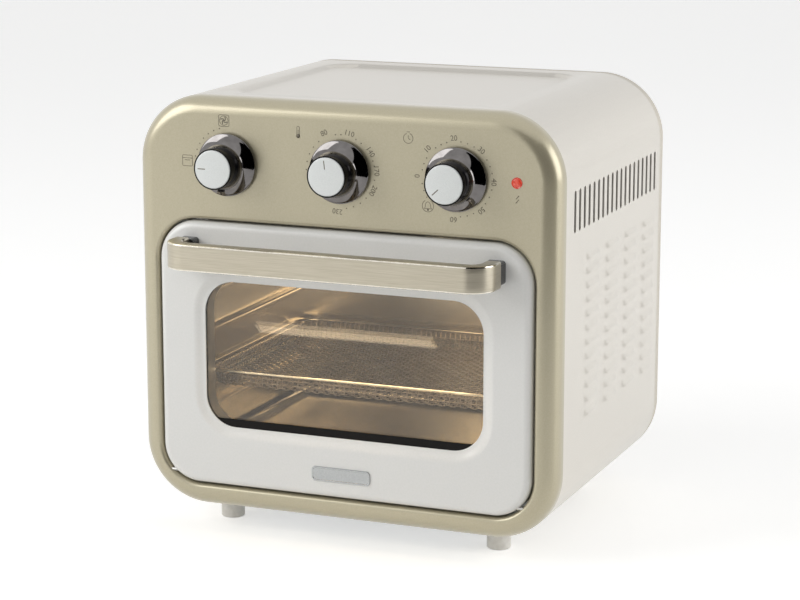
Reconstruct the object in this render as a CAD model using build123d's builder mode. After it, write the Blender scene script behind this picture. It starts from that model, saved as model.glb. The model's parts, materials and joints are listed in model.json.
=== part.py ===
from build123d import *
import os

os.makedirs("parts", exist_ok=True)

# A countertop air fryer oven with a drop-down door, in millimetres.
# X runs to the right, Y back and Z up; the table is at Z = 0.
# Depths are measured back from the face of the fascia, heights up from the table.

# Casing
width = 330
body_height = 311
foot_height = 17.2
corner_radius = 50
fascia_depth = 17.2
fascia_wall = 2.5
fascia_round = 13.5
housing_depth = 231.3
housing_sheet = 0.9
rear_depth = 19
rear_wall = 2
rear_round = 13
rear_proud = 2

# Recess pressed into the top
recess_width = 210
recess_length = 201
recess_front = 32
recess_depth = 2.6
recess_radius = 22
recess_slope = 5

# Louvres and vent slots in the sides
slot_count = 19
slot_pitch = 11
slot_front = 36.9
slot_width = 4.5
slot_length = 30.5
slot_level = 255.4
louvre_columns = 4
louvre_rows = 12
louvre_pitch = 46.7
louvre_rise = 10.6
louvre_front = 64
louvre_low = 99.3
louvre_length = 30
louvre_height = 5.4
louvre_reach = 1.9
louvre_skin = 0.9

# Door opening in the fascia
opening_width = 296
opening_height = 203
opening_lift = 17.3
opening_radius = 28
opening_round = 1.2
collar_wall = 2
collar_depth = 15

# Controls
dial_pitch = 89.3
dial_lift = 262.6
lamp_offset = 134
lamp_hole = 6.5
lamp_ring = 8
lamp_length = 12
shaft_radius = 3
shaft_hole = 7.4
neck_radius = 4.75
neck_length = 7.5
running_gap = 0.05
nut_size = 12
nut_height = 2.4
bracket_depth = 12
bracket_sheet = 1.2
bracket_width = 290
bracket_height = 62
bracket_post = 24
post_radius = 4
screw_radius = 1.5
switch_size = (30, 34, 26)
thermostat_radius = 15
thermostat_depth = 20
timer_size = (40, 42, 30)
bell_radius = 17
bell_depth = 8
bell_gap = 3

# Knobs
knob_front = 26
knob_lift = 2.5
skirt_radius = 23
grip_radius = 15
grip_depth = 12
knob_wall = 1.6
cap_radius = 14.2
cap_depth = 3
cap_dome = 0.6
shaft_reach = 8

# Door
door_gap = 1.5
door_proud = 2
door_radius = 29
door_round = 5.5
door_wall = 3.5
door_skirt = 2.5
door_depth = 15.8
window_width = 220.4
window_height = 111.2
window_lift = 47.5
window_radius = 24
dish_width = 9
dish_depth = 2.3
rebate = 6
rebate_depth = 0.6
glass_thickness = 3.2
seal_thickness = 1
seal_width = 4
inner_sheet = 1.2
door_post_inset = 17
badge_width = 46.5
badge_height = 11
badge_rim = 0.9
badge_proud = 1
badge_level = 18

# Hinge at the foot of the door
hinge_depth = 2.4
hinge_lift = 9
hinge_pin = 1.4
pin_inner = 122
pin_outer = 142.8
hinge_block = 7

# Handle
handle_reach = 40
handle_width = 254
handle_height = 19.5
handle_strap = 11
handle_round = 19
handle_drop = 20
handle_edge = 1.3
base_depth = 10
base_width = 14
base_height = 17
base_round = 2.5
handle_screw = 2

# Oven cavity
frame_depth = 20
frame_sheet = 1.2
frame_margin = 10
liner = 0.6
cavity_width = 264
cavity_height = 170
cavity_lift = 34.8
cavity_length = 208
rail_count = 4
rail_pitch = 29.8
rail_lift = 32
rail_reach = 7
rail_height = 5
rail_round = 2
rail_margin = 8

# Basket and crumb tray
basket_shelf = 1
basket_gap = 0.3
rim_side_gap = 1.5
rim_sheet = 1.2
rim_band = 6.5
basket_length = 192
basket_setback = 6
basket_radius = 22
flange_width = 6.5
basket_drop = 12.5
mesh_sheet = 1
mesh_columns = 16
mesh_rows = 12
mesh_web = 3.2
tray_side_gap = 4
tray_sheet = 0.6
tray_wall = 6

# Heating element
tube_radius = 3.2
tube_runs = 6
tube_pitch = 36
heater_drop = 15
heater_front = 52
heater_rear = 204
heater_tail = 12
clip_depths = (92, 162)
clip_sheet = 1.2
clip_below = 3
tube_clearance = 0.2

# Fan and motor above the cavity
fan_depth = 127
fan_radius = 54
fan_height = 16
fan_gap = 4
blade_count = 10
blade_thickness = 1
hub_radius = 8
fan_bore = 64
fan_case_height = 24
fan_flange = 8
guard_radius = 70
guard_sheet = 1
guard_rings = 3
guard_slots = 42
guard_web = 3
shield_gap = 30
shield_width = 250
shield_sheet = 0.8
strap_lift = 8
strap_sheet = 1.5
strap_width = 28
strap_span = 78
bush_radius = 6
bush_height = 5
stator_width = 58
stator_length = 66
stator_height = 20
stator_lift = 14
stator_offset = 8
stator_leg = 8
coil_width = 28
coil_build = 6
rotor_radius = 14
air_gap = 0.4
motor_screw = 2
cooler_radius = 32
cooler_height = 7
cooler_lift = 40
cooler_blades = 7

# Small parts
foot_radius = 9
foot_spread = 108.6
foot_front = 40
foot_rear = 216
foot_round = 1.2
screw_gap = 0.1
foot_recess = 8
foot_screw = 2
screw_head = 4
lip_inner = 98
base_slots = 9
rear_screw_inset = 24
inlet_offset = 100
inlet_lift = 40
inlet_radius = 8
inlet_bore = 3.7
vent_rows = 11
vent_columns = 3
vent_pitch = 9
vent_length = 52
vent_width = 4
cutoff_radius = 8
terminal_size = (34, 18, 12)

# Places worked out from the sizes above
half = width / 2
low = foot_height
high = low + body_height
overall_depth = handle_reach + fascia_depth + housing_depth + rear_depth + rear_proud
front = handle_reach - overall_depth / 2
seam = fascia_depth
rear_seam = seam + housing_depth
back = rear_seam + rear_depth
opening_half = opening_width / 2
opening_low = low + opening_lift
opening_high = opening_low + opening_height
door_half = opening_half - door_gap
door_low = opening_low + door_gap
door_high = opening_high - door_gap
dial_level = low + dial_lift
hinge_level = opening_low + hinge_lift
window_half = window_width / 2
window_low = opening_low + window_lift - door_gap / 2
window_high = window_low + window_height
cavity_half = cavity_width / 2
cavity_low = low + cavity_lift
cavity_high = cavity_low + cavity_height
cavity_front = frame_depth + frame_sheet
cavity_back = cavity_front + cavity_length
glass_front = door_wall - door_proud - rebate_depth
glass_back = glass_front + glass_thickness
seal_back = glass_back + seal_thickness
inner_back = door_depth + inner_sheet
ceiling_top = cavity_high + liner
dial_places = (-dial_pitch, 0, dial_pitch)


def upright(depth):
    # a vertical plane that faces the viewer, with X to the right and Z up
    return Plane(origin=(0, front + depth, 0), x_dir=(1, 0, 0), z_dir=(0, -1, 0))


def turning(x):
    # a level plane through a knob's axis: radius along X, depth along Y
    return Plane(origin=(x, front, dial_level), x_dir=(1, 0, 0), z_dir=(0, 0, 1))


def window(half_width, lower, upper, radius, mode=Mode.ADD):
    # an upright rounded rectangle, centred on X, by its edges
    with Locations((0, (lower + upper) / 2)):
        RectangleRounded(2 * half_width, upper - lower, radius, mode=mode)


def level_block(x, depths, mode=Mode.ADD):
    # a rectangle in plan, by its two X values and its two depths
    with Locations(((x[0] + x[1]) / 2, front + (depths[0] + depths[1]) / 2)):
        Rectangle(x[1] - x[0], depths[1] - depths[0], mode=mode)


def write(part, name):
    part.label = name
    export_step(part, "parts/" + name + ".step")


# Fascia: a moulded frame with the door opening, its collar and two hinge sockets
with BuildPart() as fascia_core:
    with BuildSketch(upright(fascia_wall)):
        window(half - fascia_wall, low + fascia_wall, high - fascia_wall, corner_radius - fascia_wall)
    extrude(amount=-fascia_depth)
    fillet(fascia_core.faces().sort_by(Axis.Y)[0].edges(), fascia_round - fascia_wall)
    with BuildSketch(upright(0)):
        window(
            opening_half + collar_wall,
            opening_low - collar_wall,
            opening_high + collar_wall,
            opening_radius + collar_wall,
        )
    extrude(amount=-collar_depth, mode=Mode.SUBTRACT)
    with BuildSketch(upright(fascia_wall)):
        with Locations(
            *[(s * dial_pitch / 2, dial_level + t * bracket_post) for s in (-1, 1) for t in (-1, 1)]
        ):
            Circle(post_radius)
    extrude(amount=-(bracket_depth - fascia_wall), mode=Mode.SUBTRACT)
    with BuildSketch(upright(0)):
        with Locations(*[(s * (pin_outer - hinge_block / 2), hinge_level) for s in (-1, 1)]):
            Rectangle(hinge_block, hinge_block)
    extrude(amount=-2 * hinge_block, mode=Mode.SUBTRACT)

with BuildPart() as front_fascia:
    with BuildSketch(upright(0)):
        window(half, low, high, corner_radius)
    extrude(amount=-fascia_depth)
    fillet(front_fascia.faces().sort_by(Axis.Y)[0].edges(), fascia_round)
    add(fascia_core.part, mode=Mode.SUBTRACT)
    with BuildSketch(upright(0)):
        window(opening_half, opening_low, opening_high, opening_radius)
    extrude(amount=-fascia_depth, mode=Mode.SUBTRACT)
    fillet(front_fascia.faces().sort_by(Axis.Y)[0].inner_wires()[0].edges(), opening_round)
    with BuildSketch(upright(0)):
        with Locations(*[(x, dial_level) for x in dial_places]):
            Circle(shaft_hole / 2)
        with Locations((lamp_offset, dial_level)):
            Circle(lamp_hole / 2)
    extrude(amount=-fascia_wall, mode=Mode.SUBTRACT)
    with BuildSketch(upright(fascia_wall)):
        with Locations(
            *[(s * dial_pitch / 2, dial_level + t * bracket_post) for s in (-1, 1) for t in (-1, 1)]
        ):
            Circle(screw_radius)
    extrude(amount=-(bracket_depth - fascia_wall), mode=Mode.SUBTRACT)
    with BuildSketch(Plane.YZ.offset(-pin_outer)):
        with Locations((front + hinge_depth, hinge_level)):
            Circle(hinge_pin + running_gap)
    extrude(amount=2 * pin_outer, mode=Mode.SUBTRACT)
write(front_fascia.part, "front_fascia")

# Outer housing: one bent sheet with a pressed recess, side vents and feet lips
with BuildPart() as louvre_hood:
    with BuildSketch(Plane.XY.offset(louvre_low)):
        with BuildLine():
            Polyline(
                (half - housing_sheet / 2, front + louvre_front),
                (half, front + louvre_front),
                (half + louvre_reach, front + louvre_front + 2 * louvre_reach),
                (half + louvre_reach, front + louvre_front + louvre_length - 2 * louvre_reach),
                (half, front + louvre_front + louvre_length),
                (half - housing_sheet / 2, front + louvre_front + louvre_length),
                close=True,
            )
        make_face()
    extrude(amount=louvre_height)
    with BuildSketch(Plane.XZ.offset(-front)):
        with BuildLine():
            Polyline(
                (half, louvre_low + louvre_height),
                (half + louvre_reach, louvre_low + louvre_height / 3),
                (half + 2 * louvre_reach, louvre_low + louvre_height),
                (half, louvre_low + 2 * louvre_height),
                close=True,
            )
        make_face()
    extrude(amount=-back, mode=Mode.SUBTRACT)

with BuildPart() as louvre_mouth:
    with BuildSketch(Plane.XZ.offset(-front - louvre_front - 2 * louvre_reach)):
        with BuildLine():
            Polyline(
                (half - 2 * housing_sheet, louvre_low),
                (half + louvre_reach - louvre_skin, louvre_low),
                (half + louvre_reach - louvre_skin, louvre_low + louvre_height / 4),
                (half - 2 * housing_sheet, louvre_low + louvre_height - louvre_skin),
                close=True,
            )
        make_face()
    extrude(amount=-(louvre_length - 4 * louvre_reach))

louvre_steps = [
    (0, column * louvre_pitch, row * louvre_rise)
    for column in range(louvre_columns)
    for row in range(louvre_rows)
]
hoods = [louvre_hood.part.moved(Location(step)) for step in louvre_steps]
mouths = [louvre_mouth.part.moved(Location(step)) for step in louvre_steps]

with BuildPart() as outer_housing:
    with BuildSketch(upright(seam)):
        window(half, low, high, corner_radius)
        window(
            half - housing_sheet,
            low + housing_sheet,
            high - housing_sheet,
            corner_radius - housing_sheet,
            mode=Mode.SUBTRACT,
        )
    extrude(amount=-housing_depth)
    with BuildSketch(upright(seam)):
        with Locations((0, low)):
            Rectangle(2 * lip_inner, 4 * housing_sheet)
    extrude(amount=-housing_depth, mode=Mode.SUBTRACT)
    recess_middle = front + recess_front + recess_length / 2
    for size, drop, start, mode in (
        (2 * housing_sheet, recess_depth + housing_sheet, housing_sheet / 2, Mode.ADD),
        (0, recess_depth, 0, Mode.SUBTRACT),
    ):
        with BuildSketch(Plane.XY.offset(high - start)):
            with Locations((0, recess_middle)):
                RectangleRounded(recess_width + size, recess_length + size, recess_radius + size / 2)
        with BuildSketch(Plane.XY.offset(high - drop)):
            with Locations((0, recess_middle)):
                RectangleRounded(
                    recess_width + size - 2 * recess_slope,
                    recess_length + size - 2 * recess_slope,
                    recess_radius + size / 2 - recess_slope,
                )
        loft(ruled=True, mode=mode)
    with BuildSketch(Plane.YZ.offset(-half)):
        with Locations(*[(front + slot_front + i * slot_pitch, slot_level) for i in range(slot_count)]):
            SlotOverall(slot_length, slot_width, rotation=90)
    extrude(amount=width, mode=Mode.SUBTRACT)
    add(hoods + [mirror(hood, Plane.YZ) for hood in hoods])
    add(mouths + [mirror(mouth, Plane.YZ) for mouth in mouths], mode=Mode.SUBTRACT)
    with BuildSketch(Plane.XY):
        with Locations(
            *[(s * foot_spread, front + d) for s in (-1, 1) for d in (foot_front, foot_rear)]
        ):
            Circle(foot_screw + screw_gap)
    extrude(amount=2 * low, mode=Mode.SUBTRACT)
write(outer_housing.part, "outer_housing")

# Base plate on the housing's lips, with air slots
with BuildPart() as base_plate:
    with BuildSketch(Plane.XY.offset(low + housing_sheet)):
        level_block((corner_radius - half, half - corner_radius), (seam + 1, rear_seam))
        with Locations(
            *[(s * foot_spread, front + d) for s in (-1, 1) for d in (foot_front, foot_rear)]
        ):
            Circle(foot_screw + screw_gap, mode=Mode.SUBTRACT)
        with Locations((0, front + (seam + rear_seam) / 2)):
            with GridLocations(2 * slot_pitch, 3 * slot_length, base_slots, 2):
                SlotOverall(2 * slot_length, slot_width, rotation=90, mode=Mode.SUBTRACT)
    extrude(amount=housing_sheet)
write(base_plate.part, "base_plate")

# Rear cover: a shallow moulded tray with vent slots, screw posts and the lead's inlet
rear_screws_at = [
    (s * (half - rear_screw_inset), z) for s in (-1, 1) for z in (low + rear_screw_inset, high - rear_screw_inset)
]
with BuildPart() as rear_core:
    with BuildSketch(upright(rear_seam)):
        window(half - rear_wall, low + rear_wall, high - rear_wall, corner_radius - rear_wall)
        with Locations(*rear_screws_at):
            Circle(post_radius, mode=Mode.SUBTRACT)
    extrude(amount=-(rear_depth - rear_wall))
    fillet(
        rear_core.faces().sort_by(Axis.Y)[-1].outer_wire().edges(),
        rear_round - rear_wall,
    )

with BuildPart() as rear_cover:
    with BuildSketch(upright(rear_seam)):
        window(half, low, high, corner_radius)
    extrude(amount=-rear_depth)
    fillet(rear_cover.faces().sort_by(Axis.Y)[-1].edges(), rear_round)
    add(rear_core.part, mode=Mode.SUBTRACT)
    with BuildSketch(upright(back - rear_depth / 2)):
        with Locations((0, (low + high) / 2 + vent_pitch)):
            with GridLocations(1.25 * vent_length, vent_pitch, vent_columns, vent_rows):
                SlotOverall(vent_length, vent_width)
        with Locations((-inlet_offset, low + inlet_lift)):
            Circle(inlet_radius - 1)
        with Locations(*rear_screws_at):
            Circle(screw_radius)
    extrude(amount=-rear_depth, mode=Mode.SUBTRACT)
    with BuildSketch(upright(rear_seam)):
        with Locations(*rear_screws_at):
            Circle(screw_radius)
    extrude(amount=-rear_depth, mode=Mode.SUBTRACT)
write(rear_cover.part, "rear_cover")

with BuildPart() as rear_screws:
    with BuildSketch(upright(back)):
        with Locations(*rear_screws_at):
            Circle(2 * screw_radius)
    extrude(amount=-rear_proud)
    with BuildSketch(upright(back)):
        with Locations(*rear_screws_at):
            Circle(screw_radius)
    extrude(amount=rear_depth - rear_wall)
write(rear_screws.part, "rear_screws")

with BuildPart() as cord_inlet:
    with BuildSketch(upright(back)):
        with Locations((-inlet_offset, low + inlet_lift)):
            Circle(inlet_radius)
    extrude(amount=-rear_proud)
    with BuildSketch(upright(back)):
        with Locations((-inlet_offset, low + inlet_lift)):
            Circle(inlet_radius - 1)
    extrude(amount=rear_wall)
    with BuildSketch(upright(back - rear_wall)):
        with Locations((-inlet_offset, low + inlet_lift)):
            Circle(inlet_radius)
    extrude(amount=rear_wall)
    with BuildSketch(upright(back + rear_proud)):
        with Locations((-inlet_offset, low + inlet_lift)):
            Circle(inlet_bore)
    extrude(amount=rear_proud + 2 * rear_wall, mode=Mode.SUBTRACT)
write(cord_inlet.part, "cord_inlet")

# Feet and their screws
foot_places = [(s * foot_spread, front + d) for s in (-1, 1) for d in (foot_front, foot_rear)]
with BuildPart() as feet:
    with BuildSketch():
        with Locations(*foot_places):
            Circle(foot_radius)
    extrude(amount=foot_height)
    fillet(feet.faces().group_by(Axis.Z)[0].edges(), foot_round)
    with BuildSketch():
        with Locations(*foot_places):
            Circle(screw_head + 2 * screw_gap)
    extrude(amount=foot_recess, mode=Mode.SUBTRACT)
    with BuildSketch():
        with Locations(*foot_places):
            Circle(foot_screw + screw_gap)
    extrude(amount=foot_height, mode=Mode.SUBTRACT)
write(feet.part, "feet")

with BuildPart() as foot_screws:
    with BuildSketch(Plane.XY.offset(foot_recess - foot_screw)):
        with Locations(*foot_places):
            Circle(screw_head)
    extrude(amount=foot_screw)
    with BuildSketch(Plane.XY.offset(foot_recess)):
        with Locations(*foot_places):
            Circle(foot_screw)
    extrude(amount=low + 4 * housing_sheet - foot_recess)
write(foot_screws.part, "foot_screws")

# Front frame round the mouth of the cavity, standing in the housing
with BuildPart() as front_frame:
    with BuildSketch(upright(frame_depth)):
        window(
            half - housing_sheet, low + 2 * housing_sheet, high - housing_sheet, corner_radius + housing_sheet
        )
        with Locations((0, high)):
            Rectangle(width, 2 * (high - cavity_high - frame_margin), mode=Mode.SUBTRACT)
        with Locations((0, (cavity_low + cavity_high) / 2)):
            Rectangle(cavity_width, cavity_height, mode=Mode.SUBTRACT)
    extrude(amount=-frame_sheet)
write(front_frame.part, "front_frame")


# Cavity liner: two railed walls, a back, a floor and a ceiling
rail_levels = [cavity_low + rail_lift + i * rail_pitch for i in range(rail_count)]


def railed_wall(side):
    centre = (cavity_low + cavity_high) / 2
    rails_at = [(side * cavity_half, level) for level in rail_levels]
    with BuildPart() as wall:
        with BuildSketch(upright(cavity_front)):
            with Locations((side * (cavity_half + liner / 2), centre)):
                Rectangle(liner, cavity_height)
        extrude(amount=-cavity_length)
        with BuildSketch(upright(cavity_front + rail_margin)):
            with Locations(*rails_at):
                RectangleRounded(2 * rail_reach, rail_height, rail_round)
            with Locations((side * (cavity_half + rail_reach), centre)):
                Rectangle(2 * rail_reach, 2 * cavity_height, mode=Mode.SUBTRACT)
        extrude(amount=-(cavity_length - 2 * rail_margin))
        with BuildSketch(upright(cavity_front + rail_margin + liner)):
            with Locations(*rails_at):
                RectangleRounded(2 * (rail_reach - liner), rail_height - 2 * liner, rail_round - liner)
        extrude(amount=-(cavity_length - 2 * rail_margin - 2 * liner), mode=Mode.SUBTRACT)
    return wall.part


write(Compound([railed_wall(-1), railed_wall(1)]), "cavity_side_walls")

heater_level = cavity_high - heater_drop
tube_places = [(i - (tube_runs - 1) / 2) * tube_pitch for i in range(tube_runs)]

with BuildPart() as cavity_back_wall:
    with BuildSketch(upright(cavity_back)):
        with Locations((0, (cavity_low + cavity_high) / 2)):
            Rectangle(cavity_width + 2 * liner, cavity_height + 2 * liner)
        with Locations((tube_places[0], heater_level), (tube_places[-1], heater_level)):
            Circle(tube_radius + tube_clearance, mode=Mode.SUBTRACT)
    extrude(amount=-liner)
write(cavity_back_wall.part, "cavity_back_wall")

with BuildPart() as cavity_floor:
    with BuildSketch(Plane.XY.offset(cavity_low)):
        level_block((-cavity_half - liner, cavity_half + liner), (cavity_front, cavity_back))
    extrude(amount=-liner)
write(cavity_floor.part, "cavity_floor")

with BuildPart() as cavity_ceiling:
    with BuildSketch(Plane.XY.offset(cavity_high)):
        level_block((-cavity_half - liner, cavity_half + liner), (cavity_front, cavity_back))
        with Locations((0, front + fan_depth)):
            Circle(fan_bore, mode=Mode.SUBTRACT)
    extrude(amount=liner)
write(cavity_ceiling.part, "cavity_ceiling")

# Crumb tray on the cavity floor, with a finger lip at its front
tray_half = cavity_half - tray_side_gap
tray_front = cavity_front + tray_side_gap
tray_rear = cavity_back - tray_side_gap
with BuildPart() as crumb_tray:
    with BuildSketch(Plane.XY.offset(cavity_low)):
        level_block((-tray_half, tray_half), (tray_front, tray_rear))
    extrude(amount=tray_wall)
    with BuildSketch(Plane.XY.offset(cavity_low + tray_sheet)):
        level_block(
            (tray_sheet - tray_half, tray_half - tray_sheet), (tray_front + tray_sheet, tray_rear - tray_sheet)
        )
    extrude(amount=tray_wall, mode=Mode.SUBTRACT)
    with BuildSketch(Plane.XY.offset(cavity_low + tray_wall)):
        level_block((-tray_half / 3, tray_half / 3), (tray_front - tray_side_gap / 2, tray_front + tray_sheet))
    extrude(amount=-tray_sheet)
write(crumb_tray.part, "crumb_tray")

# Basket: a rim that runs on the rails and a perforated pan that hangs in it
basket_seat = rail_levels[basket_shelf] + rail_height / 2 + basket_gap
rim_half = cavity_half - rim_side_gap
pan_half = rim_half - flange_width
rim_front = cavity_front + basket_setback
rim_rear = rim_front + basket_length
rim_middle = front + (rim_front + rim_rear) / 2


def in_plan(inset, mode=Mode.ADD):
    # the basket's outline from above, drawn in from the rim's edge
    with Locations((0, rim_middle)):
        RectangleRounded(2 * (rim_half - inset), basket_length - 2 * inset, basket_radius - inset, mode=mode)


with BuildPart() as basket_rim:
    with BuildSketch(Plane.XY.offset(basket_seat)):
        in_plan(0)
        in_plan(flange_width, mode=Mode.SUBTRACT)
    extrude(amount=rim_sheet)
    with BuildSketch(Plane.XY.offset(basket_seat)):
        in_plan(flange_width - rim_sheet)
        in_plan(flange_width, mode=Mode.SUBTRACT)
    extrude(amount=rim_band)
write(basket_rim.part, "basket_rim")

with BuildPart() as basket_mesh:
    with BuildSketch(Plane.XY.offset(basket_seat - basket_drop)):
        in_plan(flange_width)
    extrude(amount=basket_drop + rim_band / 2)
    with BuildSketch(Plane.XY.offset(basket_seat - basket_drop + mesh_sheet)):
        in_plan(flange_width + mesh_sheet)
    extrude(amount=basket_drop + rim_band, mode=Mode.SUBTRACT)
    cell = (2 * pan_half - basket_radius) / mesh_columns
    row = (basket_length - 2 * flange_width - basket_radius) / mesh_rows
    with BuildSketch(Plane.XY.offset(basket_seat - basket_drop)):
        with Locations((0, rim_middle)):
            with GridLocations(cell, row, mesh_columns, mesh_rows):
                Rectangle(cell - mesh_web, row - mesh_web)
    extrude(amount=mesh_sheet, mode=Mode.SUBTRACT)
write(basket_mesh.part, "basket_mesh")

# Heating element: one tube that runs to and fro under the ceiling
turn = tube_pitch / 2
with BuildPart() as heater_coil:
    with BuildLine(Plane.XY.offset(heater_level)) as heater_path:
        start = (tube_places[0], front + cavity_back + heater_tail)
        for i, x in enumerate(tube_places):
            last = i == tube_runs - 1
            forward = i % 2 == 0
            bend = front + (heater_front + turn if forward else heater_rear - turn)
            stop = (x, front + cavity_back + heater_tail if last else bend)
            Line(start, stop)
            if not last:
                tip = (x + turn, bend - turn if forward else bend + turn)
                start = (x + tube_pitch, bend)
                ThreePointArc(stop, tip, start)
    with BuildSketch(Plane(origin=heater_path.line @ 0, z_dir=heater_path.line % 0)):
        Circle(tube_radius)
    sweep()
write(heater_coil.part, "heater_coil")
print("least gap between heater runs", tube_pitch - 2 * tube_radius)

with BuildPart() as heater_brackets:
    for depth in clip_depths:
        with BuildSketch(upright(depth)):
            with Locations((0, (heater_level - tube_radius - clip_below + cavity_high) / 2)):
                Rectangle(
                    tube_runs * tube_pitch, cavity_high - heater_level + tube_radius + clip_below
                )
            with Locations((0, cavity_high)):
                Rectangle(2 * (guard_radius + 2), 4 * guard_sheet, mode=Mode.SUBTRACT)
            with Locations(*[(x, heater_level) for x in tube_places]):
                Circle(tube_radius + tube_clearance, mode=Mode.SUBTRACT)
        extrude(amount=-clip_sheet)
write(heater_brackets.part, "heater_brackets")

# Fan: a guard, a case, the impeller and its motor on one upright shaft
hub_at = (0, front + fan_depth)
case_top = ceiling_top + fan_case_height
shield_top = ceiling_top + shield_gap
strap_top = shield_top + strap_lift + strap_sheet
stator_low = shield_top + stator_lift
stator_high = stator_low + stator_height
top_strap = stator_high + strap_lift
cooler_low = stator_low + cooler_lift

with BuildPart() as fan_guard:
    with BuildSketch(Plane.XY.offset(cavity_high)):
        with Locations(hub_at):
            Circle(guard_radius)
            step = (fan_bore - hub_radius) / guard_rings
            for ring in range(guard_rings):
                with PolarLocations(hub_radius + (ring + 0.5) * step, guard_slots * (ring + 1) // guard_rings):
                    SlotOverall(step - guard_web, guard_web, mode=Mode.SUBTRACT)
    extrude(amount=-guard_sheet)
write(fan_guard.part, "fan_guard")

with BuildPart() as fan_housing:
    with BuildSketch(Plane.XY.offset(ceiling_top)):
        with Locations(hub_at):
            Circle(fan_bore + fan_flange)
    extrude(amount=liner)
    with BuildSketch(Plane.XY.offset(ceiling_top)):
        with Locations(hub_at):
            Circle(fan_bore + liner)
    extrude(amount=fan_case_height)
    with BuildSketch(Plane.XY.offset(ceiling_top)):
        with Locations(hub_at):
            Circle(fan_bore)
    extrude(amount=fan_case_height - liner, mode=Mode.SUBTRACT)
    with BuildSketch(Plane.XY.offset(ceiling_top)):
        with Locations(hub_at):
            Circle(2 * shaft_radius)
    extrude(amount=fan_case_height, mode=Mode.SUBTRACT)
write(fan_housing.part, "fan_housing")

with BuildPart() as heat_shield:
    with BuildSketch(Plane.XY.offset(shield_top)):
        level_block((-shield_width / 2, shield_width / 2), (cavity_front + 2 * rail_margin, cavity_back))
        with Locations(hub_at):
            Circle(2 * shaft_radius, mode=Mode.SUBTRACT)
    extrude(amount=-shield_sheet)
    for side in (-1, 1):
        edge = side * shield_width / 2
        with BuildSketch(Plane.XY.offset(shield_top)):
            level_block(
                (min(edge, edge - side * shield_sheet), max(edge, edge - side * shield_sheet)),
                (cavity_front + 2 * rail_margin, cavity_back),
            )
        extrude(amount=-shield_gap)
write(heat_shield.part, "heat_shield")


def bladed_wheel(bottom, height, radius, blades, disc_at):
    # a hub bored for the shaft, radial blades and the thin disc that carries them
    with BuildPart() as wheel:
        with BuildSketch(Plane.XY.offset(bottom)):
            with Locations(hub_at):
                Circle(hub_radius)
                with PolarLocations((radius + hub_radius) / 2 - 1, blades):
                    Rectangle(radius - hub_radius, blade_thickness)
        extrude(amount=height)
        with BuildSketch(Plane.XY.offset(disc_at)):
            with Locations(hub_at):
                Circle(radius)
        extrude(amount=blade_thickness)
        with BuildSketch(Plane.XY.offset(bottom)):
            with Locations(hub_at):
                Circle(shaft_radius)
        extrude(amount=height + blade_thickness, mode=Mode.SUBTRACT)
    return wheel.part


impeller_low = ceiling_top + fan_gap
write(
    bladed_wheel(impeller_low, fan_height, fan_radius, blade_count, impeller_low + fan_height - blade_thickness),
    "fan_impeller",
)
write(bladed_wheel(cooler_low, cooler_height, cooler_radius, cooler_blades, cooler_low), "cooling_fan")

with BuildPart() as fan_shaft:
    with BuildSketch(Plane.XY.offset(impeller_low)):
        with Locations(hub_at):
            Circle(shaft_radius)
    extrude(amount=cooler_low + cooler_height + 2 - impeller_low)
write(fan_shaft.part, "fan_shaft")

with BuildPart() as motor_rotor:
    with BuildSketch(Plane.XY.offset(stator_low)):
        with Locations(hub_at):
            Circle(rotor_radius)
            Circle(shaft_radius, mode=Mode.SUBTRACT)
    extrude(amount=stator_height)
write(motor_rotor.part, "motor_rotor")

stator_middle = front + fan_depth + stator_offset
stator_rear = stator_middle + stator_length / 2
motor_screws_at = [(s * (stator_width / 2 - 5), front + fan_depth) for s in (-1, 1)]
with BuildPart() as motor_stator:
    with BuildSketch(Plane.XY.offset(stator_low)):
        with Locations((0, stator_middle)):
            RectangleRounded(stator_width, stator_length, 3)
        with Locations(hub_at):
            Circle(rotor_radius + air_gap, mode=Mode.SUBTRACT)
        with Locations((0, stator_rear - stator_leg - coil_build - 1)):
            Rectangle(coil_width + 2, 2 * coil_build + 2, mode=Mode.SUBTRACT)
        with Locations(*motor_screws_at):
            Circle(motor_screw, mode=Mode.SUBTRACT)
    extrude(amount=stator_height)
write(motor_stator.part, "motor_stator")

with BuildPart() as motor_coil:
    with BuildSketch(Plane.XY.offset(stator_low - coil_build)):
        with Locations((0, stator_rear - stator_leg / 2)):
            RectangleRounded(coil_width, stator_leg + 2 * coil_build, coil_build / 2)
    extrude(amount=stator_height + 2 * coil_build)
    with BuildSketch(Plane.XY.offset(stator_low)):
        with Locations((0, stator_rear - stator_leg / 2)):
            Rectangle(2 * coil_width, stator_leg)
    extrude(amount=stator_height, mode=Mode.SUBTRACT)
write(motor_coil.part, "motor_coil")

with BuildPart() as motor_brackets:
    with BuildSketch(Plane.XY.offset(strap_top)):
        with Locations(hub_at):
            Rectangle(strap_span, strap_width)
    extrude(amount=-strap_sheet)
    with BuildSketch(Plane.XY.offset(strap_top)):
        with Locations(hub_at):
            with GridLocations(strap_span - strap_sheet, 1, 2, 1):
                Rectangle(strap_sheet, strap_width)
    extrude(amount=shield_top - strap_top)
    with BuildSketch(Plane.XY.offset(strap_top)):
        with Locations(hub_at):
            Circle(bush_radius)
        with Locations(*motor_screws_at):
            Circle(motor_screw)
    extrude(amount=-strap_sheet, mode=Mode.SUBTRACT)
    with BuildSketch(Plane.XY.offset(top_strap)):
        with Locations(hub_at):
            Rectangle(stator_width, strap_width)
            Circle(bush_radius, mode=Mode.SUBTRACT)
        with Locations(*motor_screws_at):
            Circle(motor_screw, mode=Mode.SUBTRACT)
    extrude(amount=-strap_sheet)
write(motor_brackets.part, "motor_brackets")

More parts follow.
